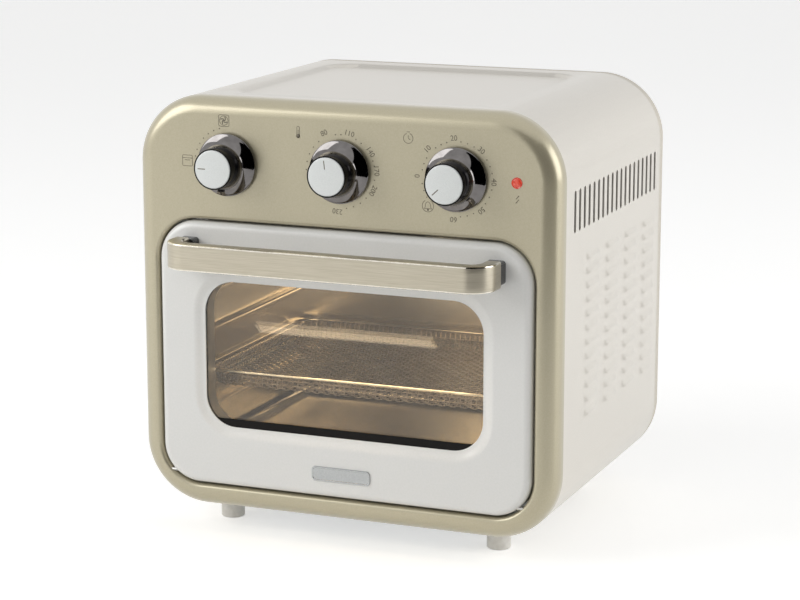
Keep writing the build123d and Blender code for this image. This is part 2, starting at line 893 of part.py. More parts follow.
with BuildPart() as shaft_bushes:
    for level in (strap_top, top_strap):
        with BuildSketch(Plane.XY.offset(level + (bush_height - strap_sheet) / 2)):
            with Locations(hub_at):
                Circle(bush_radius)
                Circle(shaft_radius + running_gap, mode=Mode.SUBTRACT)
        extrude(amount=-bush_height)
write(shaft_bushes.part, "shaft_bushes")

with BuildPart() as motor_screws:
    with BuildSketch(Plane.XY.offset(strap_top - strap_sheet)):
        with Locations(*motor_screws_at):
            Circle(motor_screw)
    extrude(amount=top_strap - strap_top + strap_sheet)
    with BuildSketch(Plane.XY.offset(top_strap)):
        with Locations(*motor_screws_at):
            RegularPolygon(2 * motor_screw, 6)
    extrude(amount=motor_screw)
write(motor_screws.part, "motor_screws")

with BuildPart() as thermal_cutoff:
    with BuildSketch(Plane.XY.offset(ceiling_top)):
        with Locations((fan_bore + 3 * cutoff_radius, front + cavity_back - 3 * cutoff_radius)):
            Circle(cutoff_radius)
    extrude(amount=cutoff_radius)
    fillet(thermal_cutoff.faces().sort_by(Axis.Z)[-1].edges(), 1)
write(thermal_cutoff.part, "thermal_cutoff")

with BuildPart() as terminal_block:
    with BuildSketch(Plane.XY.offset(shield_top)):
        with Locations((-terminal_size[0] * 2, front + cavity_back - terminal_size[0])):
            Rectangle(terminal_size[0], terminal_size[1])
    extrude(amount=terminal_size[2])
    with BuildSketch(Plane.XY.offset(shield_top + terminal_size[2])):
        with Locations((-terminal_size[0] * 2, front + cavity_back - terminal_size[0])):
            with GridLocations(terminal_size[0] / 3, terminal_size[1] / 2, 3, 2):
                Circle(1.5 * screw_radius)
    extrude(amount=-terminal_size[2] / 2, mode=Mode.SUBTRACT)
write(terminal_block.part, "terminal_block")

# Controls on a bracket behind the fascia
bracket_back = bracket_depth + bracket_sheet
posts_at = [(s * dial_pitch / 2, dial_level + t * bracket_post) for s in (-1, 1) for t in (-1, 1)]
with BuildPart() as control_bracket:
    with BuildSketch(upright(bracket_depth)):
        with Locations((0, dial_level)):
            Rectangle(bracket_width, bracket_height)
        with Locations(*[(x, dial_level) for x in dial_places]):
            Circle(neck_radius, mode=Mode.SUBTRACT)
        with Locations(*posts_at):
            Circle(screw_radius, mode=Mode.SUBTRACT)
        with Locations((lamp_offset, dial_level)):
            Circle(lamp_ring / 2 + 1, mode=Mode.SUBTRACT)
    extrude(amount=-bracket_sheet)
write(control_bracket.part, "control_bracket")

with BuildPart() as control_screws:
    with BuildSketch(upright(bracket_back)):
        with Locations(*posts_at):
            Circle(2 * screw_radius)
    extrude(amount=-screw_radius)
    with BuildSketch(upright(bracket_back)):
        with Locations(*posts_at):
            Circle(screw_radius)
    extrude(amount=bracket_back - fascia_wall)
write(control_screws.part, "control_screws")


def control_body(x, depth, outline, outline_size):
    # a control's case behind the bracket and its threaded neck, bored for the knob's shaft
    with BuildPart() as control:
        with BuildSketch(upright(bracket_back)):
            with Locations((x, dial_level)):
                outline(*outline_size)
        extrude(amount=-depth)
        with BuildSketch(upright(bracket_back)):
            with Locations((x, dial_level)):
                Circle(neck_radius)
        extrude(amount=neck_length)
        with BuildSketch(upright(bracket_back - neck_length)):
            with Locations((x, dial_level)):
                Circle(shaft_radius + running_gap)
        extrude(amount=-(neck_length + shaft_reach), mode=Mode.SUBTRACT)
    return control.part


write(
    control_body(-dial_pitch, switch_size[2], RectangleRounded, (switch_size[0], switch_size[1], 3)),
    "mode_switch",
)
write(control_body(0, thermostat_depth, Circle, (thermostat_radius,)), "thermostat")
write(
    control_body(dial_pitch, timer_size[2], RectangleRounded, (timer_size[0], timer_size[1], 4)), "timer_unit"
)

with BuildPart() as timer_bell:
    bell_front = bracket_back + timer_size[2]
    with BuildSketch(upright(bell_front)):
        with Locations((dial_pitch, dial_level)):
            Circle(screw_radius)
    extrude(amount=-(bell_gap + bell_depth))
    with BuildSketch(upright(bell_front + bell_gap)):
        with Locations((dial_pitch, dial_level)):
            Circle(bell_radius)
            Circle(bell_radius - bracket_sheet, mode=Mode.SUBTRACT)
    extrude(amount=-bell_depth)
    with BuildSketch(upright(bell_front + bell_gap + bell_depth)):
        with Locations((dial_pitch, dial_level)):
            Circle(bell_radius)
    extrude(amount=-bracket_sheet)
write(timer_bell.part, "timer_bell")

with BuildPart() as shaft_nuts:
    with BuildSketch(upright(bracket_depth)):
        with Locations(*[(x, dial_level) for x in dial_places]):
            RegularPolygon(nut_size / 2, 6, major_radius=False)
            Circle(neck_radius, mode=Mode.SUBTRACT)
    extrude(amount=nut_height)
write(shaft_nuts.part, "shaft_nuts")

with BuildPart() as lamp_lens:
    with BuildSketch(upright(0)):
        with Locations((lamp_offset, dial_level)):
            Circle(lamp_ring / 2)
    extrude(amount=1.2)
    fillet(lamp_lens.faces().sort_by(Axis.Y)[0].edges(), 0.9)
    with BuildSketch(upright(0)):
        with Locations((lamp_offset, dial_level)):
            Circle(lamp_hole / 2)
    extrude(amount=-lamp_length)
write(lamp_lens.part, "lamp_lens")

with BuildPart() as lamp_holder:
    with BuildSketch(upright(fascia_wall)):
        with Locations((lamp_offset, dial_level)):
            Circle(lamp_ring / 2 + 1)
            Circle(lamp_hole / 2, mode=Mode.SUBTRACT)
    extrude(amount=-(lamp_length - fascia_wall))
    with BuildSketch(upright(lamp_length)):
        with Locations((lamp_offset, dial_level)):
            Circle(lamp_ring / 2 + 1)
    extrude(amount=-lamp_length / 2)
write(lamp_holder.part, "lamp_holder")


# Knobs: a flared skirt and grip, a cap let into its face and a shaft
def knob_shell(x):
    with BuildPart() as knob:
        with BuildSketch(turning(x)):
            with BuildLine():
                Polyline(
                    (shaft_radius, -grip_depth),
                    (shaft_radius, cap_depth - knob_front),
                    (cap_radius, cap_depth - knob_front),
                    (cap_radius, -knob_front),
                    (grip_radius, -knob_front),
                    (grip_radius, -grip_depth),
                )
                ThreePointArc(
                    (grip_radius, -grip_depth),
                    (grip_radius + 0.28 * (skirt_radius - grip_radius), -(grip_depth + knob_lift) / 2),
                    (skirt_radius, -knob_lift),
                )
                Polyline(
                    (skirt_radius, -knob_lift),
                    (skirt_radius - knob_wall, -knob_lift),
                    (grip_radius - knob_wall, -grip_depth + knob_wall),
                    (2 * shaft_radius, -grip_depth + knob_wall),
                    (2 * shaft_radius, -knob_lift),
                    (shaft_radius, -knob_lift),
                    (shaft_radius, -grip_depth),
                )
            make_face()
        revolve(axis=Axis((x, front, dial_level), (0, 1, 0)))
    return knob.part


def knob_cap(x):
    with BuildPart() as cap:
        with BuildSketch(turning(x)):
            with BuildLine():
                Polyline(
                    (cap_radius - 1, -knob_front),
                    (cap_radius, -knob_front + 1),
                    (cap_radius, cap_depth - knob_front),
                    (0, cap_depth - knob_front),
                    (0, -knob_front - cap_dome),
                )
                ThreePointArc(
                    (0, -knob_front - cap_dome),
                    (cap_radius / 2, -knob_front - 0.75 * cap_dome),
                    (cap_radius - 1, -knob_front),
                )
            make_face()
        revolve(axis=Axis((x, front, dial_level), (0, 1, 0)))
    return cap.part


def knob_shaft(x):
    with BuildPart() as shaft:
        with BuildSketch(upright(cap_depth - knob_front)):
            with Locations((x, dial_level)):
                Circle(shaft_radius)
        extrude(amount=-(knob_front - cap_depth + bracket_back + shaft_reach - 1))
    return shaft.part


for name, x in zip(("mode", "temperature", "timer"), dial_places):
    write(knob_shell(x), name + "_knob")
    write(knob_cap(x), name + "_knob_cap")
    write(knob_shaft(x), name + "_shaft")

# Door: a moulded panel with a dished window, its glass, seal and inner frame
door_posts = [
    (s * (door_half - door_post_inset), z)
    for s in (-1, 1)
    for z in (door_low + 1.6 * door_post_inset, door_high - 1.6 * door_post_inset)
]
handle_level = door_high - handle_drop
base_x = handle_width / 2 - base_width / 2
handle_screws_at = [(s * base_x, handle_level) for s in (-1, 1)]
plate_back = door_wall - door_proud

with BuildPart() as door_core:
    with BuildSketch(upright(plate_back)):
        window(door_half - door_skirt, door_low + door_skirt, door_high - door_skirt, door_radius - door_skirt)
        with Locations(*door_posts):
            Circle(post_radius, mode=Mode.SUBTRACT)
    extrude(amount=-door_depth)
    with BuildSketch(upright(0)):
        with Locations(*[(s * (pin_inner + hinge_block), hinge_level) for s in (-1, 1)]):
            Rectangle(2 * hinge_block, 1.5 * hinge_block)
    extrude(amount=-hinge_block, mode=Mode.SUBTRACT)

with BuildPart() as door_panel:
    with BuildSketch(upright(-door_proud)):
        window(door_half, door_low, door_high, door_radius)
    extrude(amount=-(door_depth + door_proud))
    fillet(door_panel.faces().sort_by(Axis.Y)[0].edges(), door_round)
    add(door_core.part, mode=Mode.SUBTRACT)
    with BuildSketch(upright(-door_proud)):
        window(
            window_half + dish_width,
            window_low - dish_width,
            window_high + dish_width,
            window_radius + dish_width,
        )
    with BuildSketch(upright(dish_depth - door_proud)):
        window(window_half, window_low, window_high, window_radius)
    loft(ruled=True, mode=Mode.SUBTRACT)
    with BuildSketch(upright(-door_proud)):
        window(window_half, window_low, window_high, window_radius)
    extrude(amount=-door_depth, mode=Mode.SUBTRACT)
    with BuildSketch(upright(glass_front)):
        window(window_half + rebate, window_low - rebate, window_high + rebate, window_radius + rebate)
    extrude(amount=-door_depth, mode=Mode.SUBTRACT)
    with BuildSketch(upright(0)):
        with Locations(*door_posts):
            Circle(screw_radius)
    extrude(amount=-door_depth, mode=Mode.SUBTRACT)
    with BuildSketch(upright(-door_proud)):
        with Locations(*handle_screws_at):
            Circle(handle_screw)
    extrude(amount=-door_wall, mode=Mode.SUBTRACT)
    with BuildSketch(Plane.YZ.offset(-pin_outer)):
        with Locations((front + hinge_depth, hinge_level)):
            Circle(hinge_pin)
    extrude(amount=pin_outer - pin_inner, mode=Mode.SUBTRACT)
    with BuildSketch(Plane.YZ.offset(pin_inner)):
        with Locations((front + hinge_depth, hinge_level)):
            Circle(hinge_pin)
    extrude(amount=pin_outer - pin_inner, mode=Mode.SUBTRACT)
write(door_panel.part, "door_panel")

with BuildPart() as door_glass:
    with BuildSketch(upright(glass_front)):
        inset = rebate - basket_gap
        window(window_half + inset, window_low - inset, window_high + inset, window_radius + inset)
    extrude(amount=-glass_thickness)
write(door_glass.part, "door_glass")

with BuildPart() as glass_seal:
    with BuildSketch(upright(glass_back)):
        window(
            window_half + seal_width, window_low - seal_width, window_high + seal_width, window_radius + seal_width
        )
        window(window_half, window_low, window_high, window_radius, mode=Mode.SUBTRACT)
    extrude(amount=-seal_thickness)
write(glass_seal.part, "glass_seal")

with BuildPart() as door_inner_frame:
    with BuildSketch(upright(door_depth)):
        window(door_half - 1, door_low + 1, door_high - 1, door_radius - 1)
        with Locations(*door_posts):
            Circle(screw_radius, mode=Mode.SUBTRACT)
    extrude(amount=-inner_sheet)
    with BuildSketch(upright(seal_back)):
        window(
            window_half + inner_sheet,
            window_low - inner_sheet,
            window_high + inner_sheet,
            window_radius + inner_sheet,
        )
    extrude(amount=-(inner_back - seal_back))
    with BuildSketch(upright(seal_back)):
        window(window_half, window_low, window_high, window_radius)
    extrude(amount=-(inner_back - seal_back), mode=Mode.SUBTRACT)
write(door_inner_frame.part, "door_inner_frame")

with BuildPart() as door_screws:
    with BuildSketch(upright(inner_back)):
        with Locations(*door_posts):
            Circle(2 * screw_radius)
    extrude(amount=-1)
    with BuildSketch(upright(inner_back)):
        with Locations(*door_posts):
            Circle(screw_radius)
    extrude(amount=inner_back - plate_back)
write(door_screws.part, "door_screws")

with BuildPart() as door_badge:
    with BuildSketch(upright(-door_proud)):
        with Locations((0, door_low + badge_level)):
            RectangleRounded(badge_width, badge_height, badge_height / 2.6)
    extrude(amount=badge_proud)
    with BuildSketch(upright(-door_proud - badge_proud)):
        with Locations((0, door_low + badge_level)):
            RectangleRounded(
                badge_width - 2 * badge_rim, badge_height - 2 * badge_rim, badge_height / 2.6 - badge_rim
            )
    extrude(amount=-badge_proud / 3, mode=Mode.SUBTRACT)
write(door_badge.part, "door_badge")

with BuildPart() as hinge_pins:
    for side in (-1, 1):
        with BuildSketch(Plane.YZ.offset(min(side * pin_inner, side * pin_outer))):
            with Locations((front + hinge_depth, hinge_level)):
                Circle(hinge_pin)
        extrude(amount=pin_outer - pin_inner)
write(hinge_pins.part, "hinge_pins")

# Handle: a bent strap on two black bases
strap_rear = -door_proud - base_depth
with BuildPart() as handle_bar:
    with BuildSketch(Plane.XY.offset(handle_level - handle_height / 2)):
        for inset, radius, mode in (
            (0, handle_round, Mode.ADD),
            (handle_strap, handle_round - handle_strap, Mode.SUBTRACT),
        ):
            with Locations((0, front + strap_rear)):
                RectangleRounded(
                    handle_width - 2 * inset, 2 * (handle_reach + strap_rear - inset), radius, mode=mode
                )
        with Locations((0, front + strap_rear + handle_reach)):
            Rectangle(handle_width, 2 * handle_reach, mode=Mode.SUBTRACT)
    extrude(amount=handle_height)
    chamfer(handle_bar.faces().sort_by(Axis.Z)[0].edges(), handle_edge)
    chamfer(handle_bar.faces().sort_by(Axis.Z)[-1].edges(), handle_edge)
    with BuildSketch(upright(strap_rear)):
        with Locations(*handle_screws_at):
            Circle(handle_screw)
    extrude(amount=base_depth, mode=Mode.SUBTRACT)
write(handle_bar.part, "handle_bar")

with BuildPart() as handle_bases:
    with BuildSketch(upright(-door_proud)):
        with Locations(*handle_screws_at):
            RectangleRounded(base_width, base_height, base_round)
            Circle(handle_screw, mode=Mode.SUBTRACT)
    extrude(amount=base_depth)
write(handle_bases.part, "handle_bases")

with BuildPart() as handle_screws:
    with BuildSketch(upright(strap_rear - base_depth)):
        with Locations(*handle_screws_at):
            Circle(handle_screw)
    extrude(amount=-(2 * base_depth + door_wall))
    with BuildSketch(upright(plate_back)):
        with Locations(*handle_screws_at):
            Circle(2 * handle_screw)
    extrude(amount=-handle_screw)
write(handle_screws.part, "handle_screws")
print("overall depth", overall_depth, "face of the fascia at", front)
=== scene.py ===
import json
from math import cos, pi, radians, sin

import bmesh
import bpy
import numpy as np
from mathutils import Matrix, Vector


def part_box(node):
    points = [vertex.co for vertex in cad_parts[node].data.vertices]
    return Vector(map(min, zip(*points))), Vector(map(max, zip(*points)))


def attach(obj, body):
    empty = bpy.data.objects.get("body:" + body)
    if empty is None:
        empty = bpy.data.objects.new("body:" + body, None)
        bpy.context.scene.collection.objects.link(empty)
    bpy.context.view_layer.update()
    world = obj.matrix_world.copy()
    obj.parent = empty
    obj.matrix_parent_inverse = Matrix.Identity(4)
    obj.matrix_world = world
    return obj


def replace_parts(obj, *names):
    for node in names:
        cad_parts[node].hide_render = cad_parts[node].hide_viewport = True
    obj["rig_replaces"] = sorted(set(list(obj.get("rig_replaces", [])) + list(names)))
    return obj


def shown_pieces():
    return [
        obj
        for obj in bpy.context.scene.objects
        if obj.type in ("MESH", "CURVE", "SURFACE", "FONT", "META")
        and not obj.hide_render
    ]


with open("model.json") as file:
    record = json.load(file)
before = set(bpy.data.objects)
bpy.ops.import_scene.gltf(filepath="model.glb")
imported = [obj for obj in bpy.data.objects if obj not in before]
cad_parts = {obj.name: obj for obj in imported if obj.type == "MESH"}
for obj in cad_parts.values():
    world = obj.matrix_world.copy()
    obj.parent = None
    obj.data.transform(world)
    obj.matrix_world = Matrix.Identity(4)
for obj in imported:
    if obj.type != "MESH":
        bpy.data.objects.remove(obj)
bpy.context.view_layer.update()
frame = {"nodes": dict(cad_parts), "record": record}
record = frame["record"]
slotOf = {part["node"]: part["material_slot"] for part in record["subparts"]}
bodyOf = {node: body for body, nodes in record["behaviour"]["bodies"].items() for node in nodes}
mm = 0.001
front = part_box("front_fascia")[0].y  # the fascia's flat face
scene = bpy.context.scene

# Materials: small tools
# the part of a pattern's range that runs from dark to light, and how strongly a relief shows;
# Blender's bands are a sine of 20 times the place
patternUse = {"dark": 0.3, "light": 0.7, "bump": 0.6, "bandRate": 20}


def linear(hexCode):
    # sRGB hex to linear: the lower part is a straight line, the rest a power of 2.4
    channels = np.array([int(hexCode[i:i + 2], 16) for i in (0, 2, 4)]) / 255
    curved = ((channels + 0.055) / 1.055) ** 2.4
    return (*np.where(channels <= 0.04045, channels / 12.92, curved), 1.0)


def addNode(tree, kind, settings=None, inputs=None):
    node = tree.nodes.new("ShaderNode" + kind)
    for name, value in (settings or {}).items():
        setattr(node, name, value)
    for name, value in (inputs or {}).items():
        if isinstance(value, bpy.types.NodeSocket):
            tree.links.new(value, node.inputs[name])
        else:
            node.inputs[name].default_value = value
    return node


def mixOutput(tree, fac, first, second):
    # the material shows the first shader where fac is 0 and the second where it is 1
    blend = addNode(tree, "MixShader", inputs={0: fac, 1: first, 2: second})
    tree.links.new(blend.outputs["Shader"], tree.nodes["Material Output"].inputs["Surface"])


def patternFac(tree, pattern):
    # a noise, cell or band pattern whose size is given in millimetres, stretched along chosen axes
    where = addNode(tree, "TexCoord").outputs["Object"]
    stretch = pattern.get("stretch", (1, 1, 1))
    where = addNode(tree, "Mapping", inputs={"Vector": where, "Scale": stretch}).outputs["Vector"]
    scale = 1 / (pattern["size"] * mm)
    if pattern["kind"] == "cells":
        cells = addNode(tree, "TexVoronoi", inputs={"Vector": where, "Scale": scale})
        return addNode(tree, "RGBToBW", inputs={"Color": cells.outputs["Color"]}).outputs["Val"]
    if pattern["kind"] == "bands":
        settings = {"wave_type": "BANDS", "bands_direction": "Z"}
        inputs = {"Vector": where, "Scale": scale * pi / patternUse["bandRate"],
                  "Distortion": pattern.get("wobble", 0.0)}
        return addNode(tree, "TexWave", settings, inputs).outputs["Fac"]
    inputs = {"Vector": where, "Scale": scale, "Detail": pattern.get("detail", 3.0)}
    return addNode(tree, "TexNoise", inputs=inputs).outputs["Fac"]


def finish(name, light, dark, rough, metallic, grain, relief=None, depth=0.0, shader=None):
    # colour runs from dark to light and roughness between its two values with the grain,
    # and the relief pattern raises the surface by depth in millimetres
    material = bpy.data.materials.new(name)
    material.use_nodes = True
    tree = material.node_tree
    surface = tree.nodes["Principled BSDF"]
    surface.inputs["Metallic"].default_value = metallic
    for socket, value in (shader or {}).items():
        surface.inputs[socket].default_value = value
    fac = patternFac(tree, grain)
    spread = addNode(tree, "ValToRGB", inputs={"Fac": fac})
    for stop, place, colour in zip(spread.color_ramp.elements, ("dark", "light"), (dark, light)):
        stop.position, stop.color = patternUse[place], linear(colour)
    tree.links.new(spread.outputs["Color"], surface.inputs["Base Color"])
    gloss = addNode(tree, "MapRange", inputs={"Value": fac, "To Min": rough[0], "To Max": rough[1]})
    tree.links.new(gloss.outputs["Result"], surface.inputs["Roughness"])
    if relief:
        height = patternFac(tree, relief)
        bump = addNode(tree, "Bump", inputs={"Height": height, "Distance": depth * mm,
                                             "Strength": patternUse["bump"]})
        tree.links.new(bump.outputs["Normal"], surface.inputs["Normal"])
    return material


finishes = {
    # champagne pearl enamel, sprayed on steel: soft gloss, faint orange peel, tiny pearl flakes
    "fascia_paint": finish("champagnePearlEnamel", "bbb39a", "b4ac92", (0.28, 0.34), 0.5,
                           {"kind": "grain", "size": 0.9, "detail": 4.0},
                           {"kind": "grain", "size": 2.6}, 0.02,
                           {"Coat Weight": 0.5, "Coat Roughness": 0.12}),
    # cream pearl enamel on folded steel: satin, with the same orange peel
    "housing_paint": finish("creamPearlEnamel", "e4dfd6", "ded9cf", (0.34, 0.42), 0.2,
                            {"kind": "grain", "size": 0.8, "detail": 4.0},
                            {"kind": "grain", "size": 3.0}, 0.025,
                            {"Coat Weight": 0.3, "Coat Roughness": 0.2}),
    # moulded polypropylene with a spark-eroded grain: matt cream
    "rear_plastic": finish("grainedCreamPolypropylene", "dad4c8", "cfc9bc", (0.48, 0.6), 0.0,
                           {"kind": "grain", "size": 1.2}, {"kind": "grain", "size": 0.7}, 0.06),
    # hot-dip galvanised steel: grey with crystal spangle of about 7 mm
    "galvanised_sheet": finish("spangledGalvanisedSteel", "c3c5c5", "b7b9b9", (0.3, 0.38), 1.0,
                               {"kind": "cells", "size": 7.0},
                               {"kind": "grain", "size": 1.5}, 0.02),
    # stainless liner: a fine, nearly smooth brush mark
    "liner_steel": finish("brushedStainlessLiner", "dcd7cc", "d2ccc0", (0.2, 0.27), 1.0,
                          {"kind": "grain", "size": 0.9, "stretch": (0.05, 0.05, 1)},
                          {"kind": "grain", "size": 0.9, "stretch": (0.03, 0.03, 1)}, 0.002),
    # nickel-plated turned steel: faint tool rings
    "screw_steel": finish("nickelPlatedSteel", "c6c5c0", "a9a8a4", (0.22, 0.36), 1.0,
                          {"kind": "bands", "size": 0.6, "wobble": 2.0},
                          {"kind": "grain", "size": 0.5}, 0.01),
    # carbon-black rubber: matt, slightly dusty
    "black_rubber": finish("blackMouldedRubber", "232324", "161617", (0.68, 0.82), 0.0,
                           {"kind": "grain", "size": 2.0}, {"kind": "grain", "size": 0.5}, 0.03),
    # near-white moulded ABS: soft gloss
    "pale_plastic": finish("whiteMouldedAbs", "efede7", "e3e0d9", (0.32, 0.42), 0.0,
                           {"kind": "grain", "size": 4.0}, {"kind": "grain", "size": 0.8}, 0.012),
    # glass-filled black nylon: glossy skin with faint flow marks
    "dark_plastic": finish("blackGlassFilledNylon", "202122", "121213", (0.2, 0.32), 0.0,
                           {"kind": "grain", "size": 3.0, "stretch": (1, 1, 0.3)},
                           {"kind": "grain", "size": 0.6}, 0.012, {"Coat Weight": 0.3}),
    # chromed wire and sheet with a first straw tint from heat
    "basket_steel": finish("chromedBasketSteel", "dedad0", "bdb6a8", (0.14, 0.28), 1.0,
                           {"kind": "grain", "size": 14.0}, {"kind": "grain", "size": 0.8}, 0.01),
    # nickel alloy heater sheath: brown-grey oxide, mottled
    "heater_steel": finish("oxidisedHeaterSheath", "7c7068", "52473f", (0.38, 0.56), 0.85,
                           {"kind": "grain", "size": 6.0}, {"kind": "grain", "size": 0.6}, 0.02),
    # rolled aluminium: fine rolling lines
    "fan_aluminium": finish("rolledAluminium", "cdcfd2", "b2b4b8", (0.26, 0.4), 1.0,
                            {"kind": "grain", "size": 0.8, "stretch": (0.05, 1, 1)},
                            {"kind": "grain", "size": 0.7}, 0.01),
    # stacked electrical steel: 0.5 mm sheets, drawn 1 mm so that they show
    "motor_iron": finish("laminatedMotorIron", "7d8082", "4f5153", (0.36, 0.5), 1.0,
                         {"kind": "bands", "size": 1.0}, {"kind": "bands", "size": 1.0}, 0.08),
    # enamelled copper winding: amber, one band per 0.6 mm wire
    "coil_copper": finish("enamelledCopperWinding", "b9683a", "7c3b1c", (0.24, 0.34), 0.7,
                          {"kind": "bands", "size": 0.6}, {"kind": "bands", "size": 0.6}, 0.15),
    # sintered bronze: brown-gold, with open pores
    "bush_bronze": finish("sinteredBronze", "a88452", "7f6139", (0.36, 0.52), 1.0,
                          {"kind": "cells", "size": 0.6}, {"kind": "cells", "size": 0.5}, 0.03),
    # lit neon lamp lens: clear red polycarbonate
    "lamp_red": finish("redPolycarbonateLens", "e85236", "c93420", (0.1, 0.18), 0.0,
                       {"kind": "cells", "size": 1.6}, {"kind": "cells", "size": 1.2}, 0.1,
                       {"Emission Color": linear("ff3c1e"), "Emission Strength": 0.12,
                        "Coat Weight": 0.6}),
    # chrome plating on moulded ABS: dark mirror with a slight ripple
    "knob_chrome": finish("darkChromePlatedKnob", "7a7776", "6c6968", (0.05, 0.08), 1.0,
                          {"kind": "grain", "size": 5.0}, {"kind": "grain", "size": 2.6}, 0.004),
    # satin silver-white lacquer on ABS
    "cap_plastic": finish("satinSilverLacquer", "e9ecea", "dfe2e0", (0.3, 0.38), 0.1,
                          {"kind": "grain", "size": 0.5}, {"kind": "grain", "size": 1.5}, 0.008,
                          {"Coat Weight": 0.25}),
    # glossy white ABS moulding, a little warm
    "door_plastic": finish("glossyWarmWhiteAbs", "efeeeb", "ebebe7", (0.24, 0.28), 0.0,
                           {"kind": "grain", "size": 1.6}, {"kind": "grain", "size": 3.0}, 0.006,
                           {"Coat Weight": 0.35, "Coat Roughness": 0.08}),
    # satin nickel plate, blasted
    "badge_metal": finish("satinNickelPlate", "b2b4b4", "a8aaaa", (0.18, 0.24), 1.0,
                          {"kind": "grain", "size": 1.2}),
    # champagne anodised aluminium, brushed along its length
    "handle_metal": finish("brushedChampagneAluminium", "c2bbaa", "b1a997", (0.26, 0.38), 0.85,
                           {"kind": "grain", "size": 0.5, "stretch": (0.02, 0.02, 1)},
                           {"kind": "grain", "size": 0.4, "stretch": (0.02, 0.02, 1)}, 0.012),
}
# the same aluminium, diamond-cut along its edges: a bright clear line
polishedEdge = finish("diamondCutAluminiumEdge", "f0ece2", "dcd6c8", (0.06, 0.12), 1.0,
                      {"kind": "grain", "size": 3.0})
# screen-printed dial ink: warm grey, a little broken
dialInk = finish("warmGreyScreenInk", "7f7969", "6a6455", (0.5, 0.62), 0.0,
                 {"kind": "grain", "size": 0.4})
# drawn wire that the oven's heat has browned: darker than the rim
wireSteel = finish("heatBrownedWire", "a2978a", "776c60", (0.24, 0.36), 1.0,
                   {"kind": "grain", "size": 9.0})
# a black strip with a low sheen on the glass, along the window's lower edge
blackWindowStrip = finish("bakedBlackGlassPrint", "14110f", "0b0908", (0.3, 0.4), 0.0,
                  {"kind": "grain", "size": 1.0}, shader={"Specular IOR Level": 0.15})
# black gloss lacquer on the knob's grip
gripLacquer = finish("blackGlossGrip", "0e0e12", "070709", (0.08, 0.14), 0.0,
                     {"kind": "grain", "size": 4.0}, shader={"Specular IOR Level": 0.12})


def doorGlass():
    # toughened soda-lime glass, faintly warm: clear to light, so that shadow rays pass through it
    material = finish("toughenedWarmGlass", "fff6e6", "fbf0dd", (0.015, 0.035), 0.0,
                      {"kind": "grain", "size": 30.0},
                      shader={"IOR": 1.5, "Specular IOR Level": 0.25, "Transmission Weight": 1.0})
    tree = material.node_tree
    shadowRay = addNode(tree, "LightPath").outputs["Is Shadow Ray"]
    clear = addNode(tree, "BsdfTransparent", inputs={"Color": linear("f4ead8")})
    mixOutput(tree, shadowRay, tree.nodes["Principled BSDF"].outputs["BSDF"], clear.outputs["BSDF"])
    return material


finishes["door_glass"] = doorGlass()
print("materials made:", len(finishes))


# Meshes: small tools
def linked(name, data):
    piece = bpy.data.objects.new(name, data)
    scene.collection.objects.link(piece)
    return piece


def reworked(mesh, change):
    # one change on the mesh, made through bmesh
    working = bmesh.new()
    working.from_mesh(mesh)
    change(working)
    working.to_mesh(mesh)
    working.free()


def faceOutwards(working):
    closed = not any(edge.is_boundary for edge in working.edges)
    if closed and working.calc_volume(signed=True) < 0:
        bmesh.ops.reverse_faces(working, faces=working.faces)


def smoothObject(name, mesh, smoothAngle):
    # edges sharper than the angle stay sharp, and normals weighted fully by face area keep flat
    # faces flat beside a rounded edge
    mesh.shade_smooth()
    mesh.set_sharp_from_angle(angle=radians(smoothAngle))
    piece = linked(name, mesh)
    weighted = piece.modifiers.new("evenNormals", "WEIGHTED_NORMAL")
    weighted.weight, weighted.keep_sharp = 100, True
    return piece


def meshObject(name, points, faces, materials, smoothAngle=40):
    # points is (n, 3) in millimetres, faces are index lists; a closed shape is turned outwards
    mesh = bpy.data.meshes.new(name)
    mesh.from_pydata(np.asarray(points, float) * mm, [], [list(map(int, face)) for face in faces])
    mesh.update()
    for material in materials:
        mesh.materials.append(material)
    reworked(mesh, faceOutwards)
    return smoothObject(name, mesh, smoothAngle)


def place(piece, body, slotName, *nodes):
    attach(piece, body)
    if nodes:
        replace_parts(piece, *nodes)
    return piece


def joined(parts):
    # several (points, faces) as one: each part's faces count on from the points before it
    points, faces, count = [], [], 0
    for own, polygons in parts:
        points.append(own)
        faces += [[int(i) + count for i in polygon] for polygon in polygons]
        count += len(own)
    return np.concatenate(points), faces


def gridFaces(rows, columns, ring):
    # quads from each closed row of points to the next; a ring joins the last row to the first
    i, j = np.meshgrid(np.arange(rows if ring else rows - 1), np.arange(columns), indexing="ij")
    upper, beside = (i + 1) % rows, (j + 1) % columns
    corners = (i * columns + j, i * columns + beside, upper * columns + beside, upper * columns + j)
    return np.stack(corners, -1).reshape(-1, 4)


def skin(name, loops, materials, ring=False, smoothAngle=40, materialOf=None):
    # loops is (n, m, 3), one closed loop a row; unless it is a ring, one face closes each end.
    # materialOf gives each band of quads its material's number, and the ends keep the first
    loops = np.asarray(loops, float)
    rows, columns = loops.shape[:2]
    faces = gridFaces(rows, columns, ring).tolist()
    quads = len(faces)
    if not ring:
        faces += [list(range(columns))[::-1], list(range((rows - 1) * columns, rows * columns))]
    piece = meshObject(name, loops.reshape(-1, 3), faces, materials, smoothAngle)
    if materialOf is not None:
        numbers = np.zeros(len(faces), np.int32)
        numbers[:quads] = np.repeat(materialOf[:quads // columns], columns)
        piece.data.polygons.foreach_set("material_index", numbers)
    return piece


